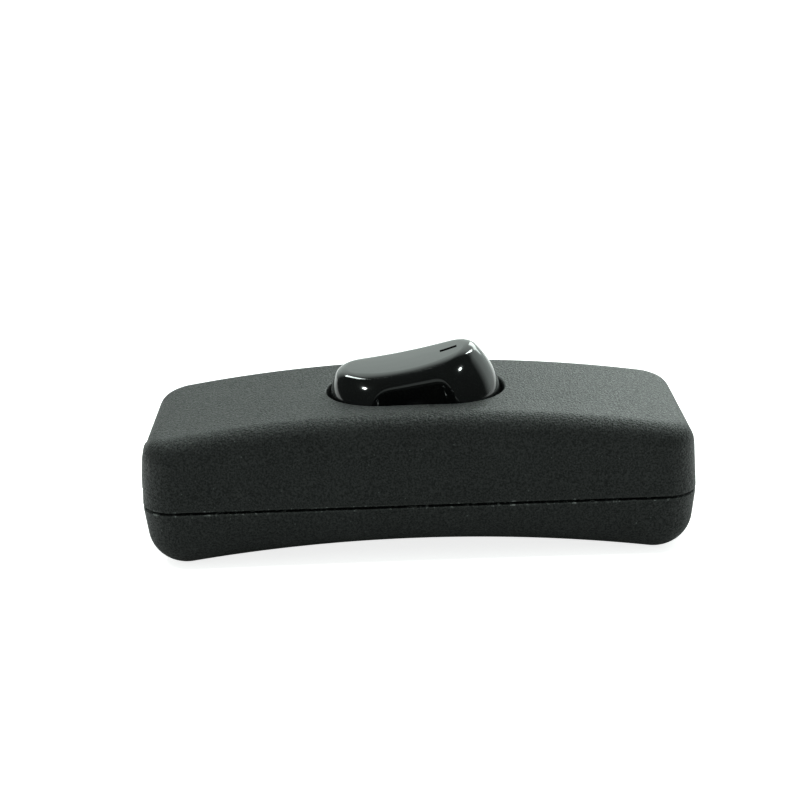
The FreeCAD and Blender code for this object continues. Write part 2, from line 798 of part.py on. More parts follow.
def neutral_link():
    """The through conductor: two terminal blocks and the strip between them."""
    row = -live_row
    left, left_holes = pillar(-1, row)
    right, right_holes = pillar(1, row)
    run = strip((-pillar_offset, pillar_offset), (row - strip_width / 2, row + strip_width / 2))
    return joined(left, right, run).cut(left_holes + right_holes)


def screw(head_radius, head_height, shank_radius, length, slot_turn):
    """A pan-head screw with its head up and the seat of the head at the origin."""
    outline = [Vector(0, 0, -length), Vector(shank_radius / 2, 0, -length),
               Vector(shank_radius, 0, -length + shank_radius), Vector(shank_radius, 0, 0),
               Vector(head_radius, 0, 0), Vector(head_radius, 0, head_height - head_edge),
               Vector(head_radius - head_edge, 0, head_height), Vector(0, 0, head_height)]
    body = turned(outline, ORIGIN, UP)
    slot = box((-head_radius, head_radius), (-slot_width / 2, slot_width / 2),
               (head_height * (1 - slot_depth_share), head_height))
    slot.rotate(ORIGIN, UP, slot_turn)
    return body.cut(slot)


def terminal_screw(side, row):
    top = bed_height + pillar_height + terminal_head_gap
    tip = bed_height + wire_hole_height + terminal_tip_gap
    body = screw(terminal_head_radius, terminal_head_height, terminal_shank_radius, top - tip,
                 side * math.copysign(terminal_slot_turn, row))
    body.translate(Vector(side * pillar_offset, row, top))
    return body


def cord_clamp(side):
    """A bridge over the cord, screwed down on two posts."""
    x = side * clamp_offset - clamp_length / 2
    hump = rod(clamp_bore_radius + clamp_hump, Vector(x, 0, parting_height),
               Vector(x + clamp_length, 0, parting_height))
    base = box((x, x + clamp_length), (-clamp_half_width, clamp_half_width),
               (post_height, post_height + clamp_thickness))
    bridge = joined(base, hump.common(above(post_height)))
    bridge = bridge.cut(rod(clamp_bore_radius, Vector(x, 0, parting_height),
                            Vector(x + clamp_length, 0, parting_height)))
    centre = side * clamp_offset
    for row in (-1, 1):
        foot = Vector(centre, row * clamp_screw_row, post_height)
        bridge = bridge.cut(rod(clamp_hole_radius, foot, foot + UP * clamp_thickness))
    ends = [edge for edge in bridge.Edges if abs(edge.BoundBox.Center.y) > clamp_half_width - 1e-6
            and edge.BoundBox.ZLength > clamp_thickness / 2]
    return bridge.makeFillet(clamp_edge, ends)


def clamp_screw(side, row):
    body = screw(clamp_head_radius, clamp_head_height, clamp_shank_radius, clamp_screw_length,
                 clamp_slot_turn * side - clamp_slot_row_turn * row)
    body.translate(Vector(side * clamp_offset, row * clamp_screw_row, post_height + clamp_thickness))
    return body


def housing_screw(side):
    """A longer screw, head down, that pulls the upper shell on to the lower one."""
    body = screw(housing_head_radius, housing_head_height, housing_shank_radius,
                 housing_screw_length, housing_slot_turn * side)
    body.rotate(ORIGIN, LENGTHWISE, 180)
    body.translate(Vector(side * housing_screw_offset, 0, head_seat_height))
    return body


def all_pieces():
    """Every piece of the switch under its own name."""
    pieces = {
        "upper_shell": upper_shell(),
        "lower_shell": lower_shell(),
        "rocker": rocker(),
        "plunger": plunger(),
        "plunger_spring": plunger_spring(),
        "contact_seesaw": contact_seesaw(),
        "moving_contact": moving_contact(),
        "fixed_contact": fixed_contact(),
        "common_terminal": common_terminal(),
        "switched_terminal": switched_terminal(),
        "neutral_link": neutral_link(),
    }
    for name, side in SIDES.items():
        pieces["live_screw_" + name] = terminal_screw(side, live_row)
        pieces["neutral_screw_" + name] = terminal_screw(side, -live_row)
        pieces["cord_clamp_" + name] = cord_clamp(side)
        pieces["clamp_screw_front_" + name] = clamp_screw(side, -1)
        pieces["clamp_screw_rear_" + name] = clamp_screw(side, 1)
        pieces["housing_screw_" + name] = housing_screw(side)
    return pieces


os.makedirs("parts", exist_ok=True)
for node, shape in all_pieces().items():
    shape.exportStep("parts/" + node + ".step")
    print(node, len(shape.Solids), "solid", round(shape.Volume, 2), "mm3", shape.isValid())
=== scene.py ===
# %% [markdown]
# # An inline cord switch
#
# The object is the small black switch that sits in the middle of a lamp's cord. Its housing is
# two arched half shells of moulded plastic with a spark-eroded, matt surface. A high-gloss rocker
# stands in the top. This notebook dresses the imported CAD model: it keeps every part where it is,
# gives the parts that show a finer skin, and gives each part the finish of its real material.

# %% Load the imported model
import math

import bmesh
import bpy
import numpy as np
from mathutils import Matrix, Vector


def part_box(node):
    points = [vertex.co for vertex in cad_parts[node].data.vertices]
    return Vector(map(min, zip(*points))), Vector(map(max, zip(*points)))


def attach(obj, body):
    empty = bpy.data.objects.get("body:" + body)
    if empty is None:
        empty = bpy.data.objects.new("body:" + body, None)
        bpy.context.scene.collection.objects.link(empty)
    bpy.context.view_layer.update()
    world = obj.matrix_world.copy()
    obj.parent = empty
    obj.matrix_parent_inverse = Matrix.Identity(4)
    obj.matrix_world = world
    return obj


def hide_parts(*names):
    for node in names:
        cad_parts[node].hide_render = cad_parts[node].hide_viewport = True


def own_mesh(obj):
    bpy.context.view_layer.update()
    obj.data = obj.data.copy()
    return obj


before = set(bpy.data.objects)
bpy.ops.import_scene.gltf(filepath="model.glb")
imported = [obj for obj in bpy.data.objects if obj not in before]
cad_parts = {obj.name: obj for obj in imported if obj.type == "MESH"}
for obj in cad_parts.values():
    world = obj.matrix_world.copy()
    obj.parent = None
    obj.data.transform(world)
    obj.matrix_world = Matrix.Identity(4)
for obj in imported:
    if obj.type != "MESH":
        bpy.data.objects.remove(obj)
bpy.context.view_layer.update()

MM = 0.001
print("the CAD model holds", len(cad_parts), "nodes")

# %% [markdown]
# ## The camera
#
# The photograph was taken from a little above and straight in front, with a long lens. A camera
# model was fitted to the housing's outline, and these are its numbers: three angles, the distance,
# and how far the middle of the switch lies from the middle of the frame.

# %% Set up the camera
IMAGE_WIDTH = 800              # pixels
SENSOR_WIDTH = 36.0            # millimetres
FOCAL_LENGTH = 1721.5          # pixels
CAMERA_TURN = math.radians(-0.13)
CAMERA_RISE = math.radians(18.32)
CAMERA_ROLL = math.radians(-1.94)
CAMERA_OFFSET = Vector((2.08, -7.90, -201.09)) * MM
PARTING = 7.25                 # millimetres, where the two shells meet


def camera_axes():
    """The camera's right, up and back directions, as the rows of a matrix."""
    back = Vector((math.sin(CAMERA_TURN) * math.cos(CAMERA_RISE),
                   -math.cos(CAMERA_TURN) * math.cos(CAMERA_RISE), math.sin(CAMERA_RISE)))
    right = Vector((math.cos(CAMERA_TURN), math.sin(CAMERA_TURN), 0))
    level = Matrix((right, back.cross(right), back))
    return Matrix.Rotation(-CAMERA_ROLL, 3, "Z") @ level


def make_camera():
    axes = camera_axes()
    data = bpy.data.cameras.new("camera")
    data.sensor_width = SENSOR_WIDTH
    data.lens = FOCAL_LENGTH * SENSOR_WIDTH / IMAGE_WIDTH
    data.clip_start = 10 * MM
    camera = bpy.data.objects.new("camera", data)
    middle = Vector((0, 0, PARTING * MM))
    camera.matrix_world = Matrix.Translation(axes.transposed() @ -CAMERA_OFFSET + middle) @ \
        axes.transposed().to_4x4()
    bpy.context.scene.collection.objects.link(camera)
    bpy.context.scene.camera = camera
    return camera


camera = make_camera()
stand = [round(value / MM, 1) for value in camera.matrix_world.translation]
print("the camera stands at", stand, "mm")

# %% [markdown]
# ## Helpers for meshes and nodes
#
# Most skins here are made of rings: closed loops of points, one after the other, joined by quads.
# Rings suit moulded parts, because the parting line, the opening and every edge run round the part,
# and a ring can lie exactly on each. One helper adds nodes, to shader and geometry trees alike.


# %% Helpers
JOIN_DISTANCE = 0.0003         # points of a mesh that are closer than this are one


def mesh_object(name, points, faces):
    """A new object from points in millimetres and faces given as lists of point numbers."""
    mesh = bpy.data.meshes.new(name)
    mesh.from_pydata((np.asarray(points, float) * MM).tolist(), [], faces)
    thing = bpy.data.objects.new(name, mesh)
    bpy.context.scene.collection.objects.link(thing)
    edit_mesh(thing, bmesh.ops.recalc_face_normals, ["faces"])
    return thing


def edit_mesh(thing, operator, parts, **settings):
    """Runs one of bmesh's operators on all of a mesh's verts, edges or faces."""
    work = bmesh.new()
    work.from_mesh(thing.data)
    operator(work, **{part: getattr(work, part) for part in parts}, **settings)
    work.to_mesh(thing.data)
    work.free()


def joined_rings(rings, closed=False):
    """Quads between each ring and the next, and between the last and the first if closed."""
    count = len(rings[0])
    faces = []
    for row in range(len(rings) if closed else len(rings) - 1):
        here = row * count
        there = (row + 1) % len(rings) * count
        for column in range(count):
            after = (column + 1) % count
            faces.append([here + column, here + after, there + after, there + column])
    return np.concatenate(rings), faces


def capped(name, rings):
    """A solid from rings, with a flat face at either end."""
    points, faces = joined_rings(rings)
    count = len(rings[0])
    ends = [list(range(count)), list(range(len(points) - count, len(points)))]
    return mesh_object(name, points, faces + ends)


def zipped(name, rings, end=0):
    """A solid from rings. The first and the last are their own mirror images, and are closed by
    joining each point to its twin. Of both, the points from -end to end lie on one straight line,
    and so do those across from them."""
    points, faces = joined_rings(rings)
    count = len(rings[0])
    half = count // 2
    strips = [range(-end - 1, end + 2), range(half - end - 1, half + end + 2)]
    strips += [(column, column + 1, -column - 1, -column)
               for column in range(end + 1, half - end - 1)]
    for start in (0, len(points) - count):
        faces += [[start + number % count for number in strip] for strip in strips]
    return mesh_object(name, points, faces)


def at_height(places, level):
    """Points from places in plan and one height, or one for each."""
    return np.column_stack([places, np.full(len(places), level)])


def quarter_turn(steps):
    """For a round edge: pairs that go from (1, 0) to (0, 1) along a quarter of a circle."""
    return [(1 - math.sin(angle), 1 - math.cos(angle))
            for angle in np.linspace(0, math.pi / 2, steps)]


def node(tree, kind, links=None, **settings):
    """Adds a node with its settings; links gives its inputs values or other nodes' outputs."""
    made = tree.nodes.new(kind)
    for name, value in settings.items():
        setattr(made, name, value)
    for name, value in (links or {}).items():
        if isinstance(value, bpy.types.NodeSocket):
            tree.links.new(value, made.inputs[name])
        else:
            made.inputs[name].default_value = value
    return made


def apply_modifiers(thing):
    """Turns an object's modifiers into plain mesh."""
    result = bpy.data.meshes.new_from_object(
        thing.evaluated_get(bpy.context.evaluated_depsgraph_get()))
    thing.modifiers.clear()
    thing.data = result
    return thing


def boolean(thing, other, operation):
    """Cuts, joins or intersects a mesh with another, which is then removed."""
    step = thing.modifiers.new(operation, "BOOLEAN")
    step.operation = operation
    step.solver = "EXACT"
    step.object = other
    apply_modifiers(thing)
    bpy.data.objects.remove(other)
    edit_mesh(thing, bmesh.ops.remove_doubles, ["verts"], dist=JOIN_DISTANCE * MM)
    return thing


def smoothed(thing, angle=32):
    """Smooth shading that keeps edges sharper than the angle, led by the larger faces."""
    thing.data.polygons.foreach_set("use_smooth", [True] * len(thing.data.polygons))
    thing.data.set_sharp_from_angle(angle=math.radians(angle))
    weighting = thing.modifiers.new("weighting", "WEIGHTED_NORMAL")
    weighting.keep_sharp = True
    return apply_modifiers(thing)


def merged_copy(name, node_name):
    """A copy of a CAD node's mesh with its loose triangles joined."""
    copy = bpy.data.objects.new(name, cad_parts[node_name].data.copy())
    copy.data.materials.clear()
    bpy.context.scene.collection.objects.link(copy)
    edit_mesh(copy, bmesh.ops.remove_doubles, ["verts"], dist=JOIN_DISTANCE * MM)
    return copy


# %% [markdown]
# ## The housing's rule
#
# Both shells follow one rule. In plan they are a rectangle with round corners that narrows away
# from the parting line, by the draft that lets the mould open. The top and the underside are
# arches of about 170 mm radius. Where side and arch meet, the edge is round: each of its
# cross-sections is a conic curve between a point on the side and a point on the arch, with the
# sharp edge as its control point, so that it leaves both surfaces smoothly. The sizes are the
# part's own, in millimetres.

# %% Sizes of the housing
HALF_LENGTH = 31.0
HALF_WIDTH = 12.225
CORNER_RADIUS = 3.95
CORNER_REST = 0.2              # the least plan radius that the arch's face keeps in a corner
TOP_HEIGHT = 17.45
TOP_RADIUS = 170.6
UNDERSIDE_RADIUS = 170.0
UPPER_DRAFT = math.radians(2.76)
LOWER_DRAFT = math.radians(6.93)
TOP_EDGE_RADIUS = 2.62
FOOT_RADIUS = 4.5
SHADOW_GAP = 0.3
OPENING_HALF_LENGTH = 10.2
OPENING_HALF_WIDTH = 7.1
OPENING_EDGE = 0.25
SEAM_EDGE = 0.12               # the small radius along the parting line
SEAM_LEDGE = 0.6               # how far in the skin follows the seam's flat face
SKIN_INSET = 0.01              # the fine skin lies this far inside the CAD surface
SIDE_STEPS = (6, 12, 20)       # points on half an end, a corner and half a long side
OPENING_STEPS = (0, 30, 8)     # the same number on the opening: its ends are half circles
CORE = np.array([HALF_LENGTH, HALF_WIDTH]) - CORNER_RADIUS


def underside_middle():
    """The height of the underside's middle when both rounded feet just touch the table."""
    foot = HALF_LENGTH - (PARTING - FOOT_RADIUS) * math.tan(LOWER_DRAFT)
    foot -= FOOT_RADIUS / math.cos(LOWER_DRAFT)
    rise = math.sqrt((UNDERSIDE_RADIUS + FOOT_RADIUS) ** 2 - foot ** 2)
    return FOOT_RADIUS - rise + UNDERSIDE_RADIUS


# a shell's side (1 for the upper), arch radius, arch middle, draft and edge radius
UPPER = (1, TOP_RADIUS, TOP_HEIGHT, UPPER_DRAFT, TOP_EDGE_RADIUS)
LOWER = (-1, UNDERSIDE_RADIUS, underside_middle(), LOWER_DRAFT, FOOT_RADIUS)


def arch_height(x, radius, middle):
    return middle - radius + np.sqrt(radius ** 2 - x ** 2)


def outline(half_x, half_y, corner, steps):
    """Points and outward directions of a rectangle with round corners, from +x's middle round."""
    ends, turns, longs = steps
    rows = [(half_x, (half_y - corner) * step / ends, 1.0, 0.0) for step in range(ends)]
    for step in range(turns):
        angle = math.pi / 2 * step / turns
        away = (math.cos(angle), math.sin(angle))
        rows.append((half_x - corner + corner * away[0], half_y - corner + corner * away[1], *away))
    rows += [((half_x - corner) * (1 - step / longs), half_y, 0.0, 1.0) for step in range(longs)]
    quarter = np.array(rows)
    last = np.array([(0.0, half_y, 0.0, 1.0)])
    half = np.concatenate([quarter, last, (quarter * (-1, 1, -1, 1))[:0:-1]])
    whole = np.concatenate([half, [(-half_x, 0.0, -1.0, 0.0)], (half * (1, -1, 1, -1))[:0:-1]])
    return whole[:, :2], whole[:, 2:]


def inset_outline(inset):
    """The body's plan outline, taken in by one distance for each point or for all."""
    places, away = outline(HALF_LENGTH, HALF_WIDTH, CORNER_RADIUS, SIDE_STEPS)
    return places - away * np.reshape(inset, (-1, 1)), away


def edge_rings(side, radius, middle, draft, edge_radius, steps=10):
    """The rings of a round edge from the side to the arch, just inside the shell's sizes."""
    middle -= side * SKIN_INSET
    levels = np.full(4 * sum(SIDE_STEPS), middle)
    for _ in range(6):         # the inset and the edge's height depend on each other
        inset = np.abs(levels - PARTING) * math.tan(draft) + SKIN_INSET
        corner, away = inset_outline(inset)
        levels = arch_height(corner[:, 0], radius, middle)
    sharp = at_height(corner, levels)
    lean = corner[:, 0] / radius
    arch_normal = side * np.column_stack([lean, 0 * lean, np.sqrt(1 - lean ** 2)])
    side_normal = at_height(away * math.cos(draft), side * math.sin(draft))
    turn = np.arccos(np.clip((arch_normal * side_normal).sum(1), -1, 1))
    reach = edge_radius * np.tan(turn / 2)
    down = at_height(away * math.sin(draft), -side * math.cos(draft))
    on_side = sharp + down * reach[:, None]
    total = inset + reach
    rest = np.maximum(CORNER_RADIUS - total, CORNER_REST)[:, None]
    # the ends share one inset, each point of a long side has its own, and a corner takes its end's
    # and the long side's first, so that the rings don't fold there
    long_side = np.where(np.abs(away[:, 1]) > 0.999, total, total[SIDE_STEPS[0] + SIDE_STEPS[1]])
    total = np.column_stack([np.full(len(total), total[0]), long_side])
    shrink = np.minimum((CORE + CORNER_RADIUS - total - rest) / CORE, 1)
    places = inset_outline(CORNER_RADIUS)[0] * shrink + away * rest
    on_arch = at_height(places, arch_height(places[:, 0], radius, middle))
    weight = np.cos(turn / 2)[:, None]
    rings = []
    for share in np.linspace(0, 1, steps + 1):
        parts = ((1 - share) ** 2, 2 * share * (1 - share) * weight, share ** 2)
        rings.append((parts[0] * on_side + parts[1] * sharp + parts[2] * on_arch) / sum(parts))
    return rings


print("the underside's middle is", round(LOWER[2], 2), "mm up")

# %% [markdown]
# ## Fine skins for the two shells
#
# A moulded shell has hardly a sharp edge outside: the mould's parting line, the rim of the opening
# and the mouth of a screw well all have a small radius that catches the light. A block with these
# edges is made from rings, and what it shares with a copy of the CAD shell is the finished piece.
# The copy's outer faces are first pushed out a little, so that the block alone sets the outside,
# and the copy gives the inside: walls, bosses, bearings, bores and screw holes. This keeps one
# closed mesh that has everything the solid has.


# %% Make the upper and the lower block
BLOCK_FOOT = PARTING - 0.5     # the upper block's lower end, past the seam


def seam_rings(side, draft):
    """The rings round the small edge at the seam and in over its flat face."""
    seam = PARTING + side * (SHADOW_GAP / 2 + SKIN_INSET)
    rings = []
    for up, out in quarter_turn(5):
        level = seam + side * SEAM_EDGE * up
        inset = abs(level - PARTING) * math.tan(draft) + SEAM_EDGE * out
        rings.append(at_height(inset_outline(inset + SKIN_INSET)[0], level))
    return rings + [at_height(inset_outline(SEAM_LEDGE)[0], seam)]


def side_rings(seam_edge, edge, steps=4):
    """Straight rings between the seam's edge and the round edge."""
    return [seam_edge + (edge - seam_edge) * share for share in np.linspace(0, 1, steps + 1)[1:-1]]


def upper_block():
    """A block with the upper shell's outside and a hole for the rocker."""
    arch = (TOP_RADIUS, TOP_HEIGHT - SKIN_INSET)
    seam = seam_rings(1, UPPER_DRAFT)[::-1]
    edge = edge_rings(*UPPER)
    rings = seam + side_rings(seam[-1], edge[0]) + edge
    hole, away = outline(OPENING_HALF_LENGTH, OPENING_HALF_WIDTH, OPENING_HALF_WIDTH, OPENING_STEPS)
    hole = hole + away * SKIN_INSET
    rim = []
    for up, out in quarter_turn(6):
        places = hole + away * OPENING_EDGE * up
        rim.append(at_height(places, arch_height(places[:, 0], *arch) - OPENING_EDGE * out))
    for share in np.linspace(0, 1, 12)[1:-1]:
        part = np.array([share, math.sqrt(share)])     # across first, so that no corner folds over
        places = edge[-1][:, :2] * (1 - part) + rim[0][:, :2] * part
        rings.append(at_height(places, arch_height(places[:, 0], *arch)))
    ledge = inset_outline(SEAM_LEDGE + SKIN_INSET)[0]
    rings += rim + [at_height(hole, BLOCK_FOOT), at_height(ledge, BLOCK_FOOT)]
    return mesh_object("upper_skin", *joined_rings(rings, closed=True))


def lower_block():
    """A block with the lower shell's outside, open to the parts that stand up inside it."""
    edge = edge_rings(*LOWER, steps=14)
    seam = seam_rings(-1, LOWER_DRAFT)
    ledge = inset_outline(SEAM_LEDGE + SKIN_INSET)[0]
    rings = edge[::-1] + side_rings(edge[0], seam[0]) + seam + [at_height(ledge, TOP_HEIGHT)]
    return zipped("lower_skin", rings, SIDE_STEPS[0])

# %% [markdown]
# The copy of the CAD shell is grown by 0.4 mm along the outer skin's own direction: straight out on
# the sides, straight up on the arch, and turning from one to the other round the edge. Its walls,
# bosses and holes stay where they are, because only points near the outer skin move.


# %% Grow the copies and take what they share with the blocks
GROWTH = 0.4
NEAR_SKIN = 0.4                # points this close to the outer skin belong to it
NEAR_SEAM = 0.02               # points this close to the seam's face keep their height


def grown_copy(name, node_name, side, radius, middle, draft, edge_radius):
    """A copy of a CAD shell whose outer skin is pushed out past the block's."""
    copy = merged_copy(name, node_name)
    points = np.array([vertex.co for vertex in copy.data.vertices]) / MM
    past = np.maximum(np.abs(points[:, :2]) - CORE, 0)
    plan = np.hypot(past[:, 0], past[:, 1])
    sheer = np.abs(points[:, 2] - PARTING) * math.tan(draft)
    sideways = np.maximum(plan - CORNER_RADIUS + sheer + edge_radius, 0)
    upwards = np.maximum(side * (points[:, 2] - arch_height(points[:, 0], radius, middle))
                         + edge_radius, 0)
    reach = np.hypot(sideways, upwards)
    outer = reach - edge_radius > -NEAR_SKIN
    share = GROWTH / np.maximum(reach, 1e-6)
    push = np.column_stack([past * np.sign(points[:, :2]) / np.maximum(plan, 1e-6)[:, None]
                            * (sideways * share)[:, None], side * upwards * share])
    push[np.abs(points[:, 2] - PARTING) < SHADOW_GAP / 2 + NEAR_SEAM, 2] = 0
    points[outer] += push[outer]
    copy.data.vertices.foreach_set("co", (points * MM).ravel())
    copy.data.update()
    return copy


def report(thing):
    """Prints a mesh's faces, and how many of its edges don't have exactly two."""
    work = bmesh.new()
    work.from_mesh(thing.data)
    loose = sum(len(edge.link_faces) != 2 for edge in work.edges)
    work.free()
    print(thing.name, len(thing.data.polygons), "faces,", loose, "open edges")


upper_skin = boolean(upper_block(), grown_copy("grown_upper", "upper_shell", *UPPER), "INTERSECT")
lower_skin = boolean(lower_block(), grown_copy("grown_lower", "lower_shell", *LOWER), "INTERSECT")
report(upper_skin)
report(lower_skin)

# %% [markdown]
# ## The inlets' collars
#
# Each cord inlet has a short collar with a rounded lip, which the parting line cuts in two halves,
# and a small gusset stands over it on the upper shell. Each half collar is a profile turned half
# round the cord's axis. It is joined to its shell by a union, so that the shell stays one mesh.
# The two screw wells in the underside are cut with a flare, as the pins of the mould leave it.

# %% Add collars, gussets and screw wells
COLLAR_RADIUS = 4.2
COLLAR_STAND = 0.7
COLLAR_EDGE = 0.35
COLLAR_ROOT = 0.65             # how deep it starts in the end wall
CORD_RADIUS = 2.975            # just inside the bore of 3.0
MOUTH_EDGE = 0.2
COLLAR_STEPS = 40
ROUND_STEPS = 48
WELL_STEPS = 64
GUSSET_HALF_WIDTH = 0.75
GUSSET_TOP = 6.75
GUSSET_RUN = 1.4
GUSSET_DEPTH = 0.3
GUSSET_EDGE = 0.18
WELL_RADIUS = 2.81
WELL_OFFSET = 13.6
WELL_FLARE = 0.25
WELL_CUT = 0.6                 # how far in the cutter reaches


def half_collar(end, side):
    """One half of a collar; end is the end of the switch, side is 1 for the upper half."""
    outer = HALF_LENGTH + COLLAR_STAND - SKIN_INSET
    inner = HALF_LENGTH - COLLAR_ROOT
    radius = COLLAR_RADIUS - SKIN_INSET
    lip = [(outer - COLLAR_EDGE * up, radius - COLLAR_EDGE * out) for up, out in quarter_turn(6)]
    mouth = [(outer - MOUTH_EDGE * out, CORD_RADIUS + MOUTH_EDGE * up)
             for up, out in quarter_turn(5)]
    profile = np.array([(inner, CORD_RADIUS), (inner, radius)] + lip + mouth)
    lift = np.arcsin((SHADOW_GAP / 2 + 2 * SKIN_INSET) / profile[:, 1])
    rings = []
    for share in np.linspace(0, 1, COLLAR_STEPS + 1):
        angle = lift + (math.pi - 2 * lift) * share
        rings.append(np.column_stack([
            end * profile[:, 0], profile[:, 1] * np.cos(angle),
            PARTING + side * profile[:, 1] * np.sin(angle)]))
    return capped("half_collar", rings)


def prism(name, shape, low, high):
    """A flat shape of x and z values, made solid between two values of y."""
    return capped(name, [np.array([(x, y, z) for x, z in shape]) for y in (low, high)])


def bevelled(thing, width, angle=40, segments=3):
    """Rounds a mesh's edges that are sharper than an angle."""
    step = thing.modifiers.new("bevel", "BEVEL")
    step.width = width * MM
    step.segments = segments
    step.angle_limit = math.radians(angle)
    step.use_clamp_overlap = True
    return apply_modifiers(thing)


def gusset(end):
    """The small rib over a collar."""
    outer = HALF_LENGTH + COLLAR_STAND - COLLAR_EDGE / 2 - SKIN_INSET
    root = HALF_LENGTH - GUSSET_RUN
    foot = PARTING + COLLAR_RADIUS - COLLAR_EDGE
    shape = [(root, PARTING + GUSSET_TOP - SKIN_INSET), (outer, foot),
             (outer, foot - GUSSET_DEPTH), (root, foot - GUSSET_DEPTH)]
    rib = prism("gusset", [(end * x, z) for x, z in shape], -GUSSET_HALF_WIDTH, GUSSET_HALF_WIDTH)
    return bevelled(rib, GUSSET_EDGE)


def turned_solid(name, profile, steps=ROUND_STEPS, x=0.0):
    """A solid turned round an upright line at x, from pairs of radius and height."""
    angles = np.linspace(0, 2 * math.pi, steps, endpoint=False)
    return capped(name, [
        np.array([(radius * math.cos(angle) + x, radius * math.sin(angle), height)
                  for angle in angles]) for radius, height in profile])


for end in (-1, 1):
    boolean(upper_skin, half_collar(end, 1), "UNION")
    boolean(lower_skin, half_collar(end, -1), "UNION")
    boolean(upper_skin, gusset(end), "UNION")
    x = end * WELL_OFFSET
    mouth = arch_height(x, *LOWER[1:3])
    rim = [(WELL_RADIUS + WELL_FLARE * up, mouth + WELL_FLARE * out)
           for up, out in quarter_turn(5)]
    well = [(rim[0][0], mouth - 1)] + rim + [(WELL_RADIUS, mouth + WELL_CUT)]
    boolean(lower_skin, turned_solid("well", well, WELL_STEPS, x), "DIFFERENCE")
report(smoothed(upper_skin))
report(smoothed(lower_skin))

# %% [markdown]
# ## The rocker
#
# The rocker is the part that the eye rests on: high gloss shows every unevenness. Its outside
# follows a rule too. The top is hollow along the switch and nearly flat across it. Past a crisp
# rim the shoulders fall off, round like a bar along the switch. The ends are arcs about the pivot,
# turned round an upright line, and each long side has a scoop for the finger, with a round end on
# both sides. Each surface is written as a distance, negative inside, and two of them meet in a
# round edge. Rays from the rocker's middle line find the skin where this distance is zero. That
# gives an even, fine net without a seam, which a union of the surfaces' own meshes wouldn't. The
# rocker is drawn upright, with its heights counted from the pivot.

# %% Find the rocker's skin
PIVOT_HEIGHT = 14.85
REST_TILT = math.radians(-10.0)
END_RADIUS = 10.0
END_CENTRE = 2.85
ROCKER_HALF_WIDTH = 6.85
SKIRT = 1.0
SADDLE_HEIGHT = 5.7
SADDLE_RADIUS = 41.0
CROWN_RADIUS = 140.0
SHOULDER_RADIUS = 8.4
SHOULDER_HEIGHT = -1.6
RIM = 0.4
SCOOP_HALF_WIDTH = 5.0
SCOOP_HALF_LENGTH = 2.5
SCOOP_END_RADIUS = 2.4
SCOOP_TALL_RADIUS = 12.0
SCOOP_HEIGHT = 1.4
ROCKER_EDGE = 0.8
FOLD = 0.35
ROCKER_STEPS = (0, 54, 14)
ROCKER_RINGS = 120
HALVINGS = 40                  # how often a ray's last span is halved
NEAR_TOP = math.radians(88.5)


def round_max(first, second, radius):
    """The larger of two distances, with a round edge where they are equal."""
    both = (first > -radius) & (second > -radius)
    edge = np.hypot(first + radius, second + radius) - radius
    return np.where(both, edge, np.maximum(first, second))


def saddle(x, y, z):
    """The top's distance: hollow along, with a slight crown across."""
    return np.hypot(np.hypot(x, z - SADDLE_HEIGHT - SADDLE_RADIUS)
                    - SADDLE_RADIUS - CROWN_RADIUS, y) - CROWN_RADIUS


def shoulders(y, z):
    return np.hypot(y, z - SHOULDER_HEIGHT) - SHOULDER_RADIUS


def rocker_distance(x, y, z):
    """Less than zero inside the rocker's outside form, more than zero outside it."""
    from_centre = np.hypot(np.maximum(np.abs(x) - END_CENTRE, 0), y)
    ends = np.hypot(from_centre + END_CENTRE, z) - END_RADIUS
    sides = round_max(ends, np.abs(y) - ROCKER_HALF_WIDTH, FOLD)
    to_middle = np.hypot(np.maximum(np.abs(x) - SCOOP_HALF_LENGTH, 0),
                         np.abs(y) - SCOOP_HALF_WIDTH - SCOOP_END_RADIUS)
    scoop = SCOOP_TALL_RADIUS - np.hypot(to_middle - SCOOP_END_RADIUS + SCOOP_TALL_RADIUS,
                                         z - SCOOP_HEIGHT)
    top = round_max(saddle(x, y, z), shoulders(y, z), RIM)
    return round_max(top, round_max(sides, scoop, FOLD), ROCKER_EDGE)


def rocker_rings():
    """The skin's rings, from the skirt's lower edge up to the middle of the top."""
    stations, away = outline(END_CENTRE, 1e-6, 1e-6, ROCKER_STEPS)
    stations = np.clip(stations, -END_CENTRE, END_CENTRE) * (1, 0)
    rings = []
    for rise in np.linspace(0, NEAR_TOP, ROCKER_RINGS):
        along = at_height(away * math.cos(rise), math.sin(rise))
        low = np.zeros(len(away))
        high = np.full(len(away), 2 * END_RADIUS)
        for _ in range(HALVINGS):
            middle = (low + high) / 2
            x, y = (stations + along[:, :2] * middle[:, None]).T
            inside = rocker_distance(x, y, along[:, 2] * middle - SKIRT) < 0
            low = np.where(inside, middle, low)
            high = np.where(inside, high, middle)
        reach = low - SKIN_INSET
        rings.append(at_height(stations + along[:, :2] * reach[:, None],
                               along[:, 2] * reach - SKIRT))
    return rings


rocker = zipped("rocker_cap", rocker_rings())
report(rocker)

# %% [markdown]
# Below its skin the rocker is hollow, with a tube that guides the plunger, a web on each side of
# it, and two trunnions that snap into the bearings. The bar mark is pressed into the top, at the
# end that stands up when the switch is off. These are plain solids, joined and cut like in the
# mould.

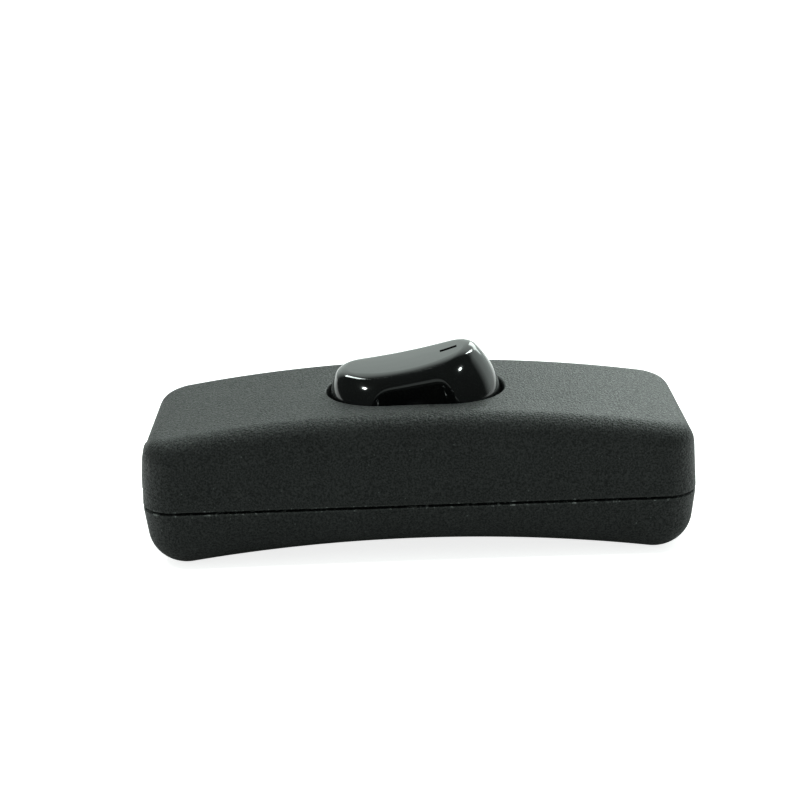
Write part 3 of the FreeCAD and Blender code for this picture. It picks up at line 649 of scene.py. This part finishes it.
# %% Hollow the rocker and add its guide, webs, trunnions and mark
CAVITY_HALF_LENGTH = 8.0
CAVITY_HALF_WIDTH = 4.35
CAVITY_FOOT = -3.0
CAVITY_ROOF = 3.5
CAVITY_STEPS = (0, 16, 2)
GUIDE_RADIUS = 2.5
GUIDE_BORE = 1.5
GUIDE_FOOT = -5.0
GUIDE_END = 2.3
GUIDE_EDGE = 0.2
WEB_HALF = 0.6
WEB_FOOT = -SKIRT + 0.02
ROOT = 0.4                     # how far guide and web reach into the walls
TRUNNION_RADIUS = 1.5
TRUNNION_REACH = 8.8
TRUNNION_EDGE = 0.3
TRUNNION_INSET = 0.003         # both keep the pins just inside the drawn ones
TRUNNION_END_INSET = 0.005
LOBE_RADIUS = 2.1
LOBE_REACH = 5.7
MARK_START = 4.0
MARK_LENGTH = 2.0
MARK_WIDTH = 0.8
MARK_DEPTH = 0.25
MARK_STEPS = 9


def pin_solid(name, profile):
    """A solid turned round the y axis, from pairs of radius and y."""
    pin = turned_solid(name, profile)
    pin.data.transform(Matrix.Rotation(math.radians(-90), 4, "X"))
    return pin


plan, _ = outline(CAVITY_HALF_LENGTH, CAVITY_HALF_WIDTH, CAVITY_HALF_WIDTH, CAVITY_STEPS)
boolean(rocker, capped("cavity", [at_height(plan, CAVITY_FOOT), at_height(plan, CAVITY_ROOF)]),
        "DIFFERENCE")
boolean(rocker, turned_solid("guide", [
    (GUIDE_RADIUS - GUIDE_EDGE, GUIDE_FOOT), (GUIDE_RADIUS, GUIDE_FOOT + GUIDE_EDGE),
    (GUIDE_RADIUS, CAVITY_ROOF + ROOT)]), "UNION")
web = [(-WEB_HALF, WEB_FOOT), (WEB_HALF, WEB_FOOT),
       (WEB_HALF, CAVITY_ROOF + ROOT), (-WEB_HALF, CAVITY_ROOF + ROOT)]
boolean(rocker, prism("web", web, -CAVITY_HALF_WIDTH - ROOT, CAVITY_HALF_WIDTH + ROOT), "UNION")
for side in (-1, 1):
    near = side * (CAVITY_HALF_WIDTH + SKIN_INSET)
    far = side * (TRUNNION_REACH - TRUNNION_END_INSET)
    radius = TRUNNION_RADIUS - TRUNNION_INSET
    lobe = [(LOBE_RADIUS, near), (LOBE_RADIUS, side * LOBE_REACH)]
    trunnion = [(radius, near), (radius, far - side * TRUNNION_EDGE),
                (TRUNNION_RADIUS - TRUNNION_EDGE, far)]
    boolean(rocker, pin_solid("lobe", lobe), "UNION")
    boolean(rocker, pin_solid("trunnion", trunnion), "UNION")
boolean(rocker, turned_solid("bore", [(GUIDE_BORE, GUIDE_FOOT - 1), (GUIDE_BORE, GUIDE_END)]),
        "DIFFERENCE")

centres = np.linspace(MARK_START, MARK_START + MARK_LENGTH, MARK_STEPS)
floor = SADDLE_HEIGHT + SADDLE_RADIUS - np.sqrt((SADDLE_RADIUS + MARK_DEPTH) ** 2 - centres ** 2)
shape = list(zip(centres, floor)) + [(x, SADDLE_HEIGHT + 3) for x in (centres[-1], centres[0])]
boolean(rocker, prism("mark", shape, -MARK_WIDTH / 2, MARK_WIDTH / 2), "DIFFERENCE")
onto_pivot = Matrix.Translation((0, 0, PIVOT_HEIGHT * MM)) @ Matrix.Rotation(REST_TILT, 4, "Y")
rocker.data.transform(onto_pivot)
report(smoothed(rocker))

# %% [markdown]
# ## Brass, contacts and clamps
#
# The inner metal is stamped, bent and machined, the clamps are moulded, and no such edge is sharp.
# These pieces take the CAD's own mesh: flat areas are joined into whole faces, and then every sharp
# edge gets a small bevel, as tumbling the parts or a mould's wear leaves it.

# %% Dress the inner pieces
# rows of pieces with their slot, their body and the width of their bevels
INNER = [("brass", "housing", 0.06, "common_terminal", "switched_terminal", "neutral_link"),
         ("brass", "seesaw", 0.06, "contact_seesaw"),
         ("clamp", "housing", 0.12, "cord_clamp_left", "cord_clamp_right"),
         ("contact", "seesaw", 0.05, "moving_contact"),
         ("contact", "housing", 0.05, "fixed_contact"),
         ("plunger", "plunger", 0.08, "plunger")]
FLAT = math.radians(0.5)
dressed = []
for slot, body, width, *node_names in INNER:
    for node_name in node_names:
        piece = merged_copy(node_name + "_piece", node_name)
        edit_mesh(piece, bmesh.ops.dissolve_limit, ["verts", "edges"], angle_limit=FLAT)
        bevelled(piece, width, angle=50, segments=2)
        report(smoothed(piece, 40))
        dressed.append((piece, node_name, slot, body))

# %% [markdown]
# ## Screws and spring by rule
#
# Screws and springs are drawn as rules: only the sizes differ from one such piece to the next. A
# geometry node tree is such a rule, and its inputs are the sizes. These helpers give a tree its
# inputs and add the steps that both rules need.


# %% Helpers for geometry trees
def group_tree(name, sizes, vectors=()):
    """A node tree that takes points, sizes, vectors and a material."""
    tree = bpy.data.node_groups.new(name, "GeometryNodeTree")
    sockets = [("Geometry", "Geometry")] + [(size, "Float") for size in sizes]
    sockets += [(way, "Vector") for way in vectors] + [("Material", "Material")]
    for socket_name, kind in sockets:
        tree.interface.new_socket(socket_name, in_out="INPUT", socket_type="NodeSocket" + kind)
    tree.interface.new_socket("Geometry", in_out="OUTPUT", socket_type="NodeSocketGeometry")
    return tree


def maths(tree, operation, first, second=0.0):
    return node(tree, "ShaderNodeMath", {0: first, 1: second}, operation=operation).outputs[0]


def times(tree, first, second):
    return maths(tree, "MULTIPLY", first, second)


def moved(tree, geometry, offset, rotation=(0.0, 0.0, 0.0)):
    return node(tree, "GeometryNodeTransform", {
        "Geometry": geometry, "Translation": offset, "Rotation": rotation}).outputs[0]


def raised(tree, geometry, height):
    return moved(tree, geometry, node(tree, "ShaderNodeCombineXYZ", {2: height}).outputs[0])


def wire_along(tree, curve, radius, sides):
    ring = node(tree, "GeometryNodeCurvePrimitiveCircle", {"Resolution": sides, "Radius": radius})
    return node(tree, "GeometryNodeCurveToMesh", {
        "Curve": curve, "Profile Curve": ring.outputs["Curve"], "Fill Caps": True}).outputs[0]


def delivered(tree, geometry, material):
    """Gives geometry its material and makes it what the tree gives."""
    named = node(tree, "GeometryNodeSetMaterial", {"Geometry": geometry, "Material": material})
    node(tree, "NodeGroupOutput", {0: named.outputs[0]})
    return tree


# %% [markdown]
# Ten screws follow one rule with three sets of sizes: a chamfered pan head with a slot that stopped
# at its own angle, a shank, and a thread. The tree makes one screw from its sizes and sets it on
# points that carry the screws' turns.

# %% Write the screws' tree
SCREW_SIZES = ("Head radius", "Head height", "Head edge", "Shank radius", "Length", "Slot width",
               "Thread pitch", "Thread depth")


def screw_tree():
    tree = group_tree("screws", SCREW_SIZES)
    (points, head_radius, head_height, head_edge, shank_radius, length, slot_width, pitch,
     thread_depth, material) = node(tree, "NodeGroupInput").outputs[:len(SCREW_SIZES) + 2]
    straight = maths(tree, "SUBTRACT", head_height, head_edge)
    barrel = node(tree, "GeometryNodeMeshCylinder", {
        "Vertices": 48, "Radius": head_radius, "Depth": straight}).outputs["Mesh"]
    crown = node(tree, "GeometryNodeMeshCone", {
        "Vertices": 48, "Radius Bottom": head_radius,
        "Radius Top": maths(tree, "SUBTRACT", head_radius, head_edge),
        "Depth": head_edge}).outputs["Mesh"]
    head = node(tree, "GeometryNodeMeshBoolean", operation="UNION", solver="EXACT")
    for part, height in ((barrel, times(tree, straight, 0.5)), (crown, straight)):
        tree.links.new(raised(tree, part, height), head.inputs["Mesh 2"])
    size = node(tree, "ShaderNodeCombineXYZ", {
        0: times(tree, head_radius, 3.0), 1: slot_width, 2: head_height})
    slot = node(tree, "GeometryNodeMeshCube", {"Size": size.outputs[0]}).outputs["Mesh"]
    slotted = node(tree, "GeometryNodeMeshBoolean", {"Mesh 1": head.outputs["Mesh"]},
                   operation="DIFFERENCE", solver="EXACT")
    tree.links.new(raised(tree, slot, head_height), slotted.inputs["Mesh 2"])

    core = maths(tree, "SUBTRACT", shank_radius, thread_depth)
    full = maths(tree, "SUBTRACT", length, shank_radius)
    shank = node(tree, "GeometryNodeMeshCylinder", {
        "Vertices": 32, "Radius": core, "Depth": full}).outputs["Mesh"]
    shank = raised(tree, shank, times(tree, full, -0.5))
    point = node(tree, "GeometryNodeMeshCone", {
        "Vertices": 32, "Radius Top": core, "Radius Bottom": times(tree, core, 0.5),
        "Depth": shank_radius}).outputs["Mesh"]
    point = raised(tree, point, times(tree, length, -1.0))
    run = maths(tree, "SUBTRACT", full, pitch)
    helix = node(tree, "GeometryNodeCurveSpiral", {
        "Resolution": 32, "Rotations": maths(tree, "DIVIDE", run, pitch),
        "Start Radius": core, "End Radius": core, "Height": run}).outputs["Curve"]
    helix = raised(tree, helix, times(tree, full, -1.0))
    thread = wire_along(tree, helix, thread_depth, 4)
    whole = node(tree, "GeometryNodeJoinGeometry")
    for part in (slotted.outputs["Mesh"], shank, point, thread):
        tree.links.new(part, whole.inputs[0])
    turn = node(tree, "GeometryNodeInputNamedAttribute", {"Name": "turn"}, data_type="FLOAT_VECTOR")
    placed = node(tree, "GeometryNodeInstanceOnPoints", {
        "Points": points, "Instance": whole.outputs[0],
        "Rotation": turn.outputs["Attribute"]})
    real = node(tree, "GeometryNodeRealizeInstances", {"Geometry": placed.outputs[0]})
    return delivered(tree, real.outputs[0], material)


# %% [markdown]
# The plunger's spring is a wire along a helix, tilted about the rocker's pivot. A tree's result is
# kept as a plain mesh, so that it can be shaded, measured and exported like any other piece.


# %% Write the spring's tree
def spring_tree():
    tree = group_tree("spring", ("Coil radius", "Wire radius", "Height", "Foot", "Turns"),
                      ("Tilt", "Pivot"))
    given = node(tree, "NodeGroupInput").outputs
    helix = node(tree, "GeometryNodeCurveSpiral", {
        "Resolution": 48, "Rotations": given["Turns"], "Start Radius": given["Coil radius"],
        "End Radius": given["Coil radius"], "Height": given["Height"]}).outputs["Curve"]
    wire = wire_along(tree, raised(tree, helix, given["Foot"]), given["Wire radius"], 12)
    return delivered(tree, moved(tree, wire, given["Pivot"], given["Tilt"]), given["Material"])


def grown_by_rule(name, tree, points, values, turns=None):
    """Runs a node tree on some points (millimetres) and keeps the result as a plain mesh."""
    thing = mesh_object(name, points, [])
    if turns is not None:
        given = thing.data.attributes.new("turn", "FLOAT_VECTOR", "POINT")
        given.data.foreach_set("vector", np.ravel(turns))
    step = thing.modifiers.new(name, "NODES")
    step.node_group = tree
    identifiers = {item.name: item.identifier for item in tree.interface.items_tree
                   if item.in_out == "INPUT"}
    for socket_name, value in values.items():
        step[identifiers[socket_name]] = value
    return apply_modifiers(thing)


screws = screw_tree()
spring = spring_tree()
print("node trees:", screws.name, spring.name)

# %% [markdown]
# ## Materials
#
# Every finish is worked out from the piece's own coordinates in millimetres, so its pattern has a
# real size: the grain of spark-eroded plastic is about 0.3 mm, and the lines of drawn or rolled
# metal are finer than 0.1 mm. Colours are given as on a screen and turned into linear light.


# %% Write the materials' building blocks
def linear(code):
    """A colour from its sRGB hex code."""
    values = [int(code[start:start + 2], 16) / 255 for start in (0, 2, 4)]
    return [value / 12.92 if value <= 0.04045 else ((value + 0.055) / 1.055) ** 2.4
            for value in values] + [1.0]


def empty_tree(owner):
    """The node tree of a material or world, without the nodes that it starts with."""
    owner.use_nodes = True
    owner.node_tree.nodes.clear()
    return owner.node_tree


def stretched(tree, place, scale):
    return node(tree, "ShaderNodeVectorMath", {0: place, 1: scale}, operation="MULTIPLY").outputs[0]


def new_material(name, constants):
    """A material with the shader's fixed values, and its coordinates in millimetres."""
    made = bpy.data.materials.new(name)
    tree = empty_tree(made)
    place = node(tree, "ShaderNodeTexCoord").outputs["Object"]
    shader = node(tree, "ShaderNodeBsdfPrincipled", constants)
    node(tree, "ShaderNodeOutputMaterial", {"Surface": shader.outputs[0]})
    return made, tree, stretched(tree, place, (1 / MM,) * 3), shader


def surfaced(tree, shader, base, rough, height, depth, strength):
    """Gives the shader its colour, its roughness and a bump of a depth in millimetres."""
    relief = node(tree, "ShaderNodeBump", {
        "Height": height, "Distance": depth * MM, "Strength": strength}).outputs[0]
    for name, value in (("Base Color", base), ("Roughness", rough), ("Normal", relief)):
        tree.links.new(value, shader.inputs[name])


def noise(tree, place, scale, detail=2.0, roughness=0.5):
    """A noise of about 1 / scale millimetres."""
    return node(tree, "ShaderNodeTexNoise", {
        "Vector": place, "Scale": scale, "Detail": detail, "Roughness": roughness}).outputs[0]


def cells(tree, place, scale):
    return node(tree, "ShaderNodeTexVoronoi", {"Vector": place, "Scale": scale}).outputs


def ranged(tree, value, low, high, to_low=0.0, to_high=1.0):
    return node(tree, "ShaderNodeMapRange", {
        "Value": value, "From Min": low, "From Max": high, "To Min": to_low, "To Max": to_high},
        clamp=True).outputs[0]


def blended(tree, factor, first, second):
    """Mixes two colours."""
    mix = node(tree, "ShaderNodeMix", {0: factor, 6: first, 7: second}, data_type="RGBA")
    return mix.outputs[2]


def tinted(tree, base, mask, share, code):
    """The base colour with another one over it, by a share of a mask."""
    return blended(tree, times(tree, mask, share), base, linear(code))


def worn_edges(tree, radius=0.25):
    """High where the surface turns within a small radius: the edges that hands and tools reach."""
    rounder = node(tree, "ShaderNodeBevel", {"Radius": radius * MM}, samples=4).outputs[0]
    plain = node(tree, "ShaderNodeNewGeometry").outputs["Normal"]
    same = node(tree, "ShaderNodeVectorMath", {0: rounder, 1: plain}, operation="DOT_PRODUCT")
    return ranged(tree, same.outputs["Value"], 0.995, 0.9)


# %% [markdown]
# ### Plastics
#
# The shells' mould was spark-eroded, which leaves fine round craters: matt black, with painted
# glints (single grains painted pale where they would catch the light), and a paler, thin flash
# here and there along the parting line. The rocker's mould was polished. Its gloss has a faint
# waviness, because moulded plastic shrinks unevenly.


# %% Make the plastics
def eroded_plastic(name, tint, parting_flash):
    made, tree, place, shader = new_material(name, {"IOR": 1.5})
    grain = noise(tree, place, 3.4, 4.0, 0.68)
    craters = cells(tree, place, 4.4)["Distance"]
    cloud = noise(tree, place, 0.16, 3.0)
    base = blended(tree, ranged(tree, cloud, 0.35, 0.65), linear(tint), linear("1A1C1B"))
    # painted glints: a few random cells get a small pale dot in the base colour, which stands in
    # for grains that catch the light
    glint_cells = cells(tree, place, 3.1)
    lot = node(tree, "ShaderNodeSeparateColor", {0: glint_cells["Color"]}).outputs[0]
    near = ranged(tree, glint_cells["Distance"], 0.22, 0.08)
    base = tinted(tree, base, times(tree, ranged(tree, lot, 0.975, 0.985), near), 0.5, "8A918E")
    edge = worn_edges(tree)
    base = tinted(tree, base, edge, 0.35, "4A4E4C")
    if parting_flash:
        level = node(tree, "ShaderNodeSeparateXYZ", {0: place}).outputs[2]
        off_seam = maths(tree, "ABSOLUTE", maths(tree, "SUBTRACT", level, PARTING))
        patches = noise(tree, stretched(tree, place, (1.0, 1.0, 0.2)), 1.9, 4.0, 0.7)
        flash = times(tree, ranged(tree, off_seam, 0.36, 0.2), ranged(tree, patches, 0.58, 0.64))
        base = tinted(tree, base, flash, 0.7, "8C908E")
    sheen = ranged(tree, noise(tree, place, 5.0, 2.0, 0.6), 0.38, 0.62, 0.22, 0.78)
    tree.links.new(sheen, shader.inputs["Specular IOR Level"])
    rough = ranged(tree, grain, 0.35, 0.65, 0.46, 0.62)
    rough = maths(tree, "SUBTRACT", rough, times(tree, edge, 0.12))
    height = maths(tree, "ADD", grain, times(tree, craters, 0.6))
    surfaced(tree, shader, base, rough, height, 0.1, 1.0)
    return made


def gloss_plastic(name):
    made, tree, place, shader = new_material(name, {"IOR": 1.68})
    cloud = noise(tree, place, 0.3, 2.0)
    base = blended(tree, ranged(tree, cloud, 0.3, 0.7), linear("0B0C0C"), linear("101111"))
    base = tinted(tree, base, worn_edges(tree, 0.3), 0.15, "2A2B2B")
    smear = noise(tree, stretched(tree, place, (0.5, 1.4, 1.0)), 0.7, 3.0, 0.6)
    wave = noise(tree, place, 0.35, 1.0)
    height = maths(tree, "ADD", wave, times(tree, noise(tree, place, 7.0, 2.0), 0.02))
    surfaced(tree, shader, base, ranged(tree, smear, 0.35, 0.75, 0.055, 0.12), height, 0.03, 0.5)
    return made


def acetal(name):
    made, tree, place, shader = new_material(name, {
        "IOR": 1.48, "Subsurface Weight": 0.25, "Subsurface Scale": 0.4 * MM,
        "Subsurface Radius": (1.0, 0.9, 0.75)})
    cloud = noise(tree, place, 0.8, 2.0)
    base = blended(tree, ranged(tree, cloud, 0.3, 0.7), linear("ECE9E1"), linear("F2F0EA"))
    base = tinted(tree, base, worn_edges(tree), 0.3, "C9C5BB")
    rough = ranged(tree, noise(tree, place, 3.0), 0.3, 0.7, 0.34, 0.46)
    surfaced(tree, shader, base, rough, noise(tree, place, 12.0), 0.006, 0.5)
    return made


# %% [markdown]
# ### Metals
#
# The strips are rolled brass: fine lines along the strip, slightly darker tarnish in patches, and
# brighter edges where the tool sheared them. The contacts are silver alloy with a turned face. The
# screws are steel with a thin, bluish zinc coat, and the spring is drawn wire, lined along itself.


# %% Make the metals
def metal(name, bright, dull, lines, roughness, edge_tint, line_scale=14.0):
    made, tree, place, shader = new_material(name, {"Metallic": 1.0})
    cloud = noise(tree, place, 0.45, 4.0, 0.6)
    base = blended(tree, ranged(tree, cloud, 0.42, 0.68), linear(bright), linear(dull))
    base = tinted(tree, base, worn_edges(tree, 0.12), 0.6, edge_tint)
    streak = noise(tree, stretched(tree, place, lines), line_scale, 3.0, 0.6)
    rough = ranged(tree, streak, 0.3, 0.7, roughness - 0.07, roughness + 0.09)
    rough = maths(tree, "ADD", rough, ranged(tree, cloud, 0.42, 0.7, 0.0, 0.08))
    surfaced(tree, shader, base, rough, streak, 0.004, 0.7)
    return made


finishes = {
    "housing": eroded_plastic("spark-eroded black plastic", "161817", True),
    "rocker": gloss_plastic("high-gloss black plastic"),
    "plunger": acetal("natural acetal"),
    "spring": metal("drawn spring steel", "B9BABD", "96979B", (1.0, 1.0, 9.0), 0.27, "D6D7DA"),
    "brass": metal("rolled brass", "D2AC5B", "B08A45", (0.12, 1.0, 1.0), 0.28, "EBCB80"),
    "contact": metal("silver contact alloy", "DCDAD4", "B9B5AC", (1.0, 1.0, 0.2), 0.22, "F0EEE9"),
    "screw": metal("zinc-plated steel", "C3C7CC", "A4A8AF", (1.0, 1.0, 0.3), 0.3, "DDE1E6", 6.0),
    "clamp": eroded_plastic("moulded black plastic", "151616", False),
}
print(len(finishes), "finishes")

# %% [markdown]
# ## Screws and spring in place
#
# The screws sit where the CAD's screws sit, so their places are read from its boxes. The slots stop
# at different angles, as hand-driven screws do. The spring stands in the rocker's guide and tilts
# with it. Both node trees set the finish themselves.


# %% Make the screws and the spring
def screw_set(name, kinds, turns, sizes, facing_down=False):
    """A set of equal screws, with SCREW_SIZES in millimetres and the slots' turns in degrees."""
    nodes = [kind + end for end in ("left", "right") for kind in kinds]
    sizes = dict(zip(SCREW_SIZES, sizes))
    head = sizes["Head height"]
    places = []
    for node_name in nodes:
        low, high = (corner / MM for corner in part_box(node_name))
        level = low.z + head if facing_down else high.z - head
        places.append(((low.x + high.x) / 2, (low.y + high.y) / 2, level))
    flip = math.pi if facing_down else 0.0
    values = {key: value * MM for key, value in sizes.items()}
    made = grown_by_rule(name, screws, places, {**values, "Material": finishes["screw"]},
                         [(flip, 0.0, math.radians(turn)) for turn in turns])
    report(smoothed(made, 35))
    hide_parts(*nodes)
    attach(made, "housing")


screw_set("terminal_screws", ("live_screw_", "neutral_screw_"), (-53, 53, 53, -53),
          (1.9, 1.4, 0.45, 1.2, 2.6, 0.6, 0.45, 0.12))
screw_set("clamp_screws", ("clamp_screw_front_", "clamp_screw_rear_"), (15, -65, 65, -15),
          (1.85, 1.3, 0.45, 1.0, 5.4, 0.6, 0.8, 0.2))
screw_set("housing_screws", ("housing_screw_",), (-35, 35),
          (2.5, 1.4, 0.45, 1.3, 9.0, 0.6, 1.0, 0.25), facing_down=True)

SPRING_FOOT = -2.6
SPRING_TOP = 2.3
SPRING_CLEARANCE = 0.01
WIRE = 0.19
coil = grown_by_rule("plunger_spring_piece", spring, [(0, 0, 0)], {
    "Coil radius": 1.15 * MM, "Wire radius": WIRE * MM,
    "Height": (SPRING_TOP - SPRING_FOOT - 2 * WIRE - 2 * SPRING_CLEARANCE) * MM,
    "Foot": (SPRING_FOOT + WIRE + SPRING_CLEARANCE) * MM, "Turns": 5.0,
    "Tilt": (0.0, REST_TILT, 0.0), "Pivot": (0.0, 0.0, PIVOT_HEIGHT * MM),
    "Material": finishes["spring"]})
report(smoothed(coil, 50))
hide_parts("plunger_spring")
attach(coil, "rocker")
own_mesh(coil)

# %% [markdown]
# Each other piece now gets the finish of its slot, the CAD node that it stands for is hidden, and
# it is attached to the body that it moves with. One loop over one table keeps these four together.

# %% Finish the other pieces
dressed += [(upper_skin, "upper_shell", "housing", "housing"),
            (lower_skin, "lower_shell", "housing", "housing"),
            (rocker, "rocker", "rocker", "rocker")]
for piece, node_name, slot, body in dressed:
    piece.data.materials.clear()
    piece.data.materials.append(finishes[slot])
    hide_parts(node_name)
    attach(piece, body)
print(len(dressed), "pieces dressed")

# %% [markdown]
# ## Light and floor
#
# The photograph is a product shot on pure white. Its light comes from a white backdrop behind the
# switch, which reaches further forward on the right, and which the tops reflect. The room above and
# in front is darker, which keeps the sides deep black. The light is slightly green, like that of
# tubes. The floor and the world are white to the camera, and the floor keeps a trace of the
# switch's shadow. Reflections see it white beside and behind the switch, and grey in front.

# %% Make the world and the floor
WHITE = (1, 1, 1, 1)
TUBE_LIGHT = (0.89, 1.0, 0.95, 1)
PLAIN_LEVEL = 0.55             # the world's strength for light that isn't mirrored
FRONT_LEVEL = 0.05             # and for what is mirrored from above and in front
BACKDROP_EDGE = 0.60           # how far back, from 0 to 1, the white backdrop starts
BACKDROP_BLUR = 0.15
RIGHT_WALL = 0.35              # how much further forward it reaches on the right
FLOOR_REACH = 3000.0
FLOOR_BEND = 0.5               # how far aside counts as behind, for the floor's white
FLOOR_EDGE = 30.0
FLOOR_GLOW = 0.8               # the light it gives to the camera
MIRRORED_GLOW = 0.45           # and where it is white to reflections


def rays_and_place(tree, coordinates):
    """What a ray is, by kind, and where it arrives or goes, as x, y and z."""
    way = node(tree, "ShaderNodeTexCoord").outputs[coordinates]
    return (node(tree, "ShaderNodeLightPath").outputs,
            node(tree, "ShaderNodeSeparateXYZ", {0: way}).outputs)


def make_world():
    world = bpy.data.worlds.new("white cover")
    bpy.context.scene.world = world
    tree = empty_tree(world)
    path, parts = rays_and_place(tree, "Generated")
    back = maths(tree, "ADD", parts[1], times(tree, parts[0], RIGHT_WALL))
    behind = ranged(tree, back, BACKDROP_EDGE - BACKDROP_BLUR, BACKDROP_EDGE + BACKDROP_BLUR,
                    FRONT_LEVEL, 1.0)
    plain = times(tree, maths(tree, "SUBTRACT", 1.0, path["Is Glossy Ray"]), PLAIN_LEVEL)
    level = maths(tree, "ADD", times(tree, path["Is Glossy Ray"], behind), plain)
    level = maths(tree, "MAXIMUM", level, path["Is Camera Ray"])
    level = maths(tree, "MAXIMUM", level, path["Is Transmission Ray"])
    tint = blended(tree, path["Is Camera Ray"], TUBE_LIGHT, WHITE)
    light = node(tree, "ShaderNodeBackground", {"Color": tint, "Strength": level})
    node(tree, "ShaderNodeOutputWorld", {"Surface": light.outputs[0]})


def make_floor():
    corners = [(-1, -1, 0), (1, -1, 0), (1, 1, 0), (-1, 1, 0)]
    floor = mesh_object("floor", np.array(corners) * FLOOR_REACH, [[0, 1, 2, 3]])
    made = bpy.data.materials.new("pale table")
    tree = empty_tree(made)
    path, parts = rays_and_place(tree, "Object")
    aside = times(tree, maths(tree, "ABSOLUTE", parts[0]), FLOOR_BEND)
    in_front = ranged(tree, maths(tree, "ADD", parts[1], aside), FLOOR_EDGE * MM, 0.0)
    grey = times(tree, in_front, path["Is Glossy Ray"])
    white = times(tree, maths(tree, "SUBTRACT", 1.0, in_front), path["Is Glossy Ray"])
    shade = blended(tree, grey, (0.82, 0.82, 0.82, 1), (0.4, 0.4, 0.4, 1))
    lit = maths(tree, "ADD", times(tree, path["Is Camera Ray"], FLOOR_GLOW),
                times(tree, white, MIRRORED_GLOW))
    matt = node(tree, "ShaderNodeBsdfDiffuse", {"Color": shade})
    lift = node(tree, "ShaderNodeEmission", {"Color": WHITE, "Strength": lit})
    both = node(tree, "ShaderNodeAddShader", {0: matt.outputs[0], 1: lift.outputs[0]})
    node(tree, "ShaderNodeOutputMaterial", {"Surface": both.outputs[0]})
    floor.data.materials.append(made)


make_world()
make_floor()
print("the floor reaches", FLOOR_REACH, "mm from the switch")

# %% [markdown]
# Five lamps stand round the switch. Two strips draw the rocker's rim, a wide lamp low behind on the
# right makes that end brighter, and two small ones in front put sharp spots on the rocker. A lamp's
# size sets how soft its highlight is, and its place where the highlight lies.


# %% Add the lamps
def lamp(name, place, size, power, aim=(0, 0, 12)):
    """A lamp that aims at a point; lengths in millimetres, power in watts."""
    data = bpy.data.lights.new(name, "AREA")
    data.shape = "RECTANGLE"
    data.size, data.size_y = (value * MM for value in size)
    data.energy = power
    data.color = TUBE_LIGHT[:3]
    made = bpy.data.objects.new(name, data)
    made.location = Vector(place) * MM
    made.rotation_euler = (Vector(aim) - Vector(place)).to_track_quat("-Z", "Y").to_euler()
    bpy.context.scene.collection.objects.link(made)


lamp("right cover", (150, 360, 140), (200, 120), 0.3, aim=(0, 0, 10))
lamp("left strip", (-120, 190, 260), (40, 150), 0.25)
lamp("right strip", (130, 190, 260), (50, 150), 0.4)
lamp("left lamp", (-160, -95, 290), (20, 20), 0.15)
lamp("right lamp", (110, -90, 290), (20, 20), 0.15)
bpy.context.scene.view_settings.view_transform = "Standard"
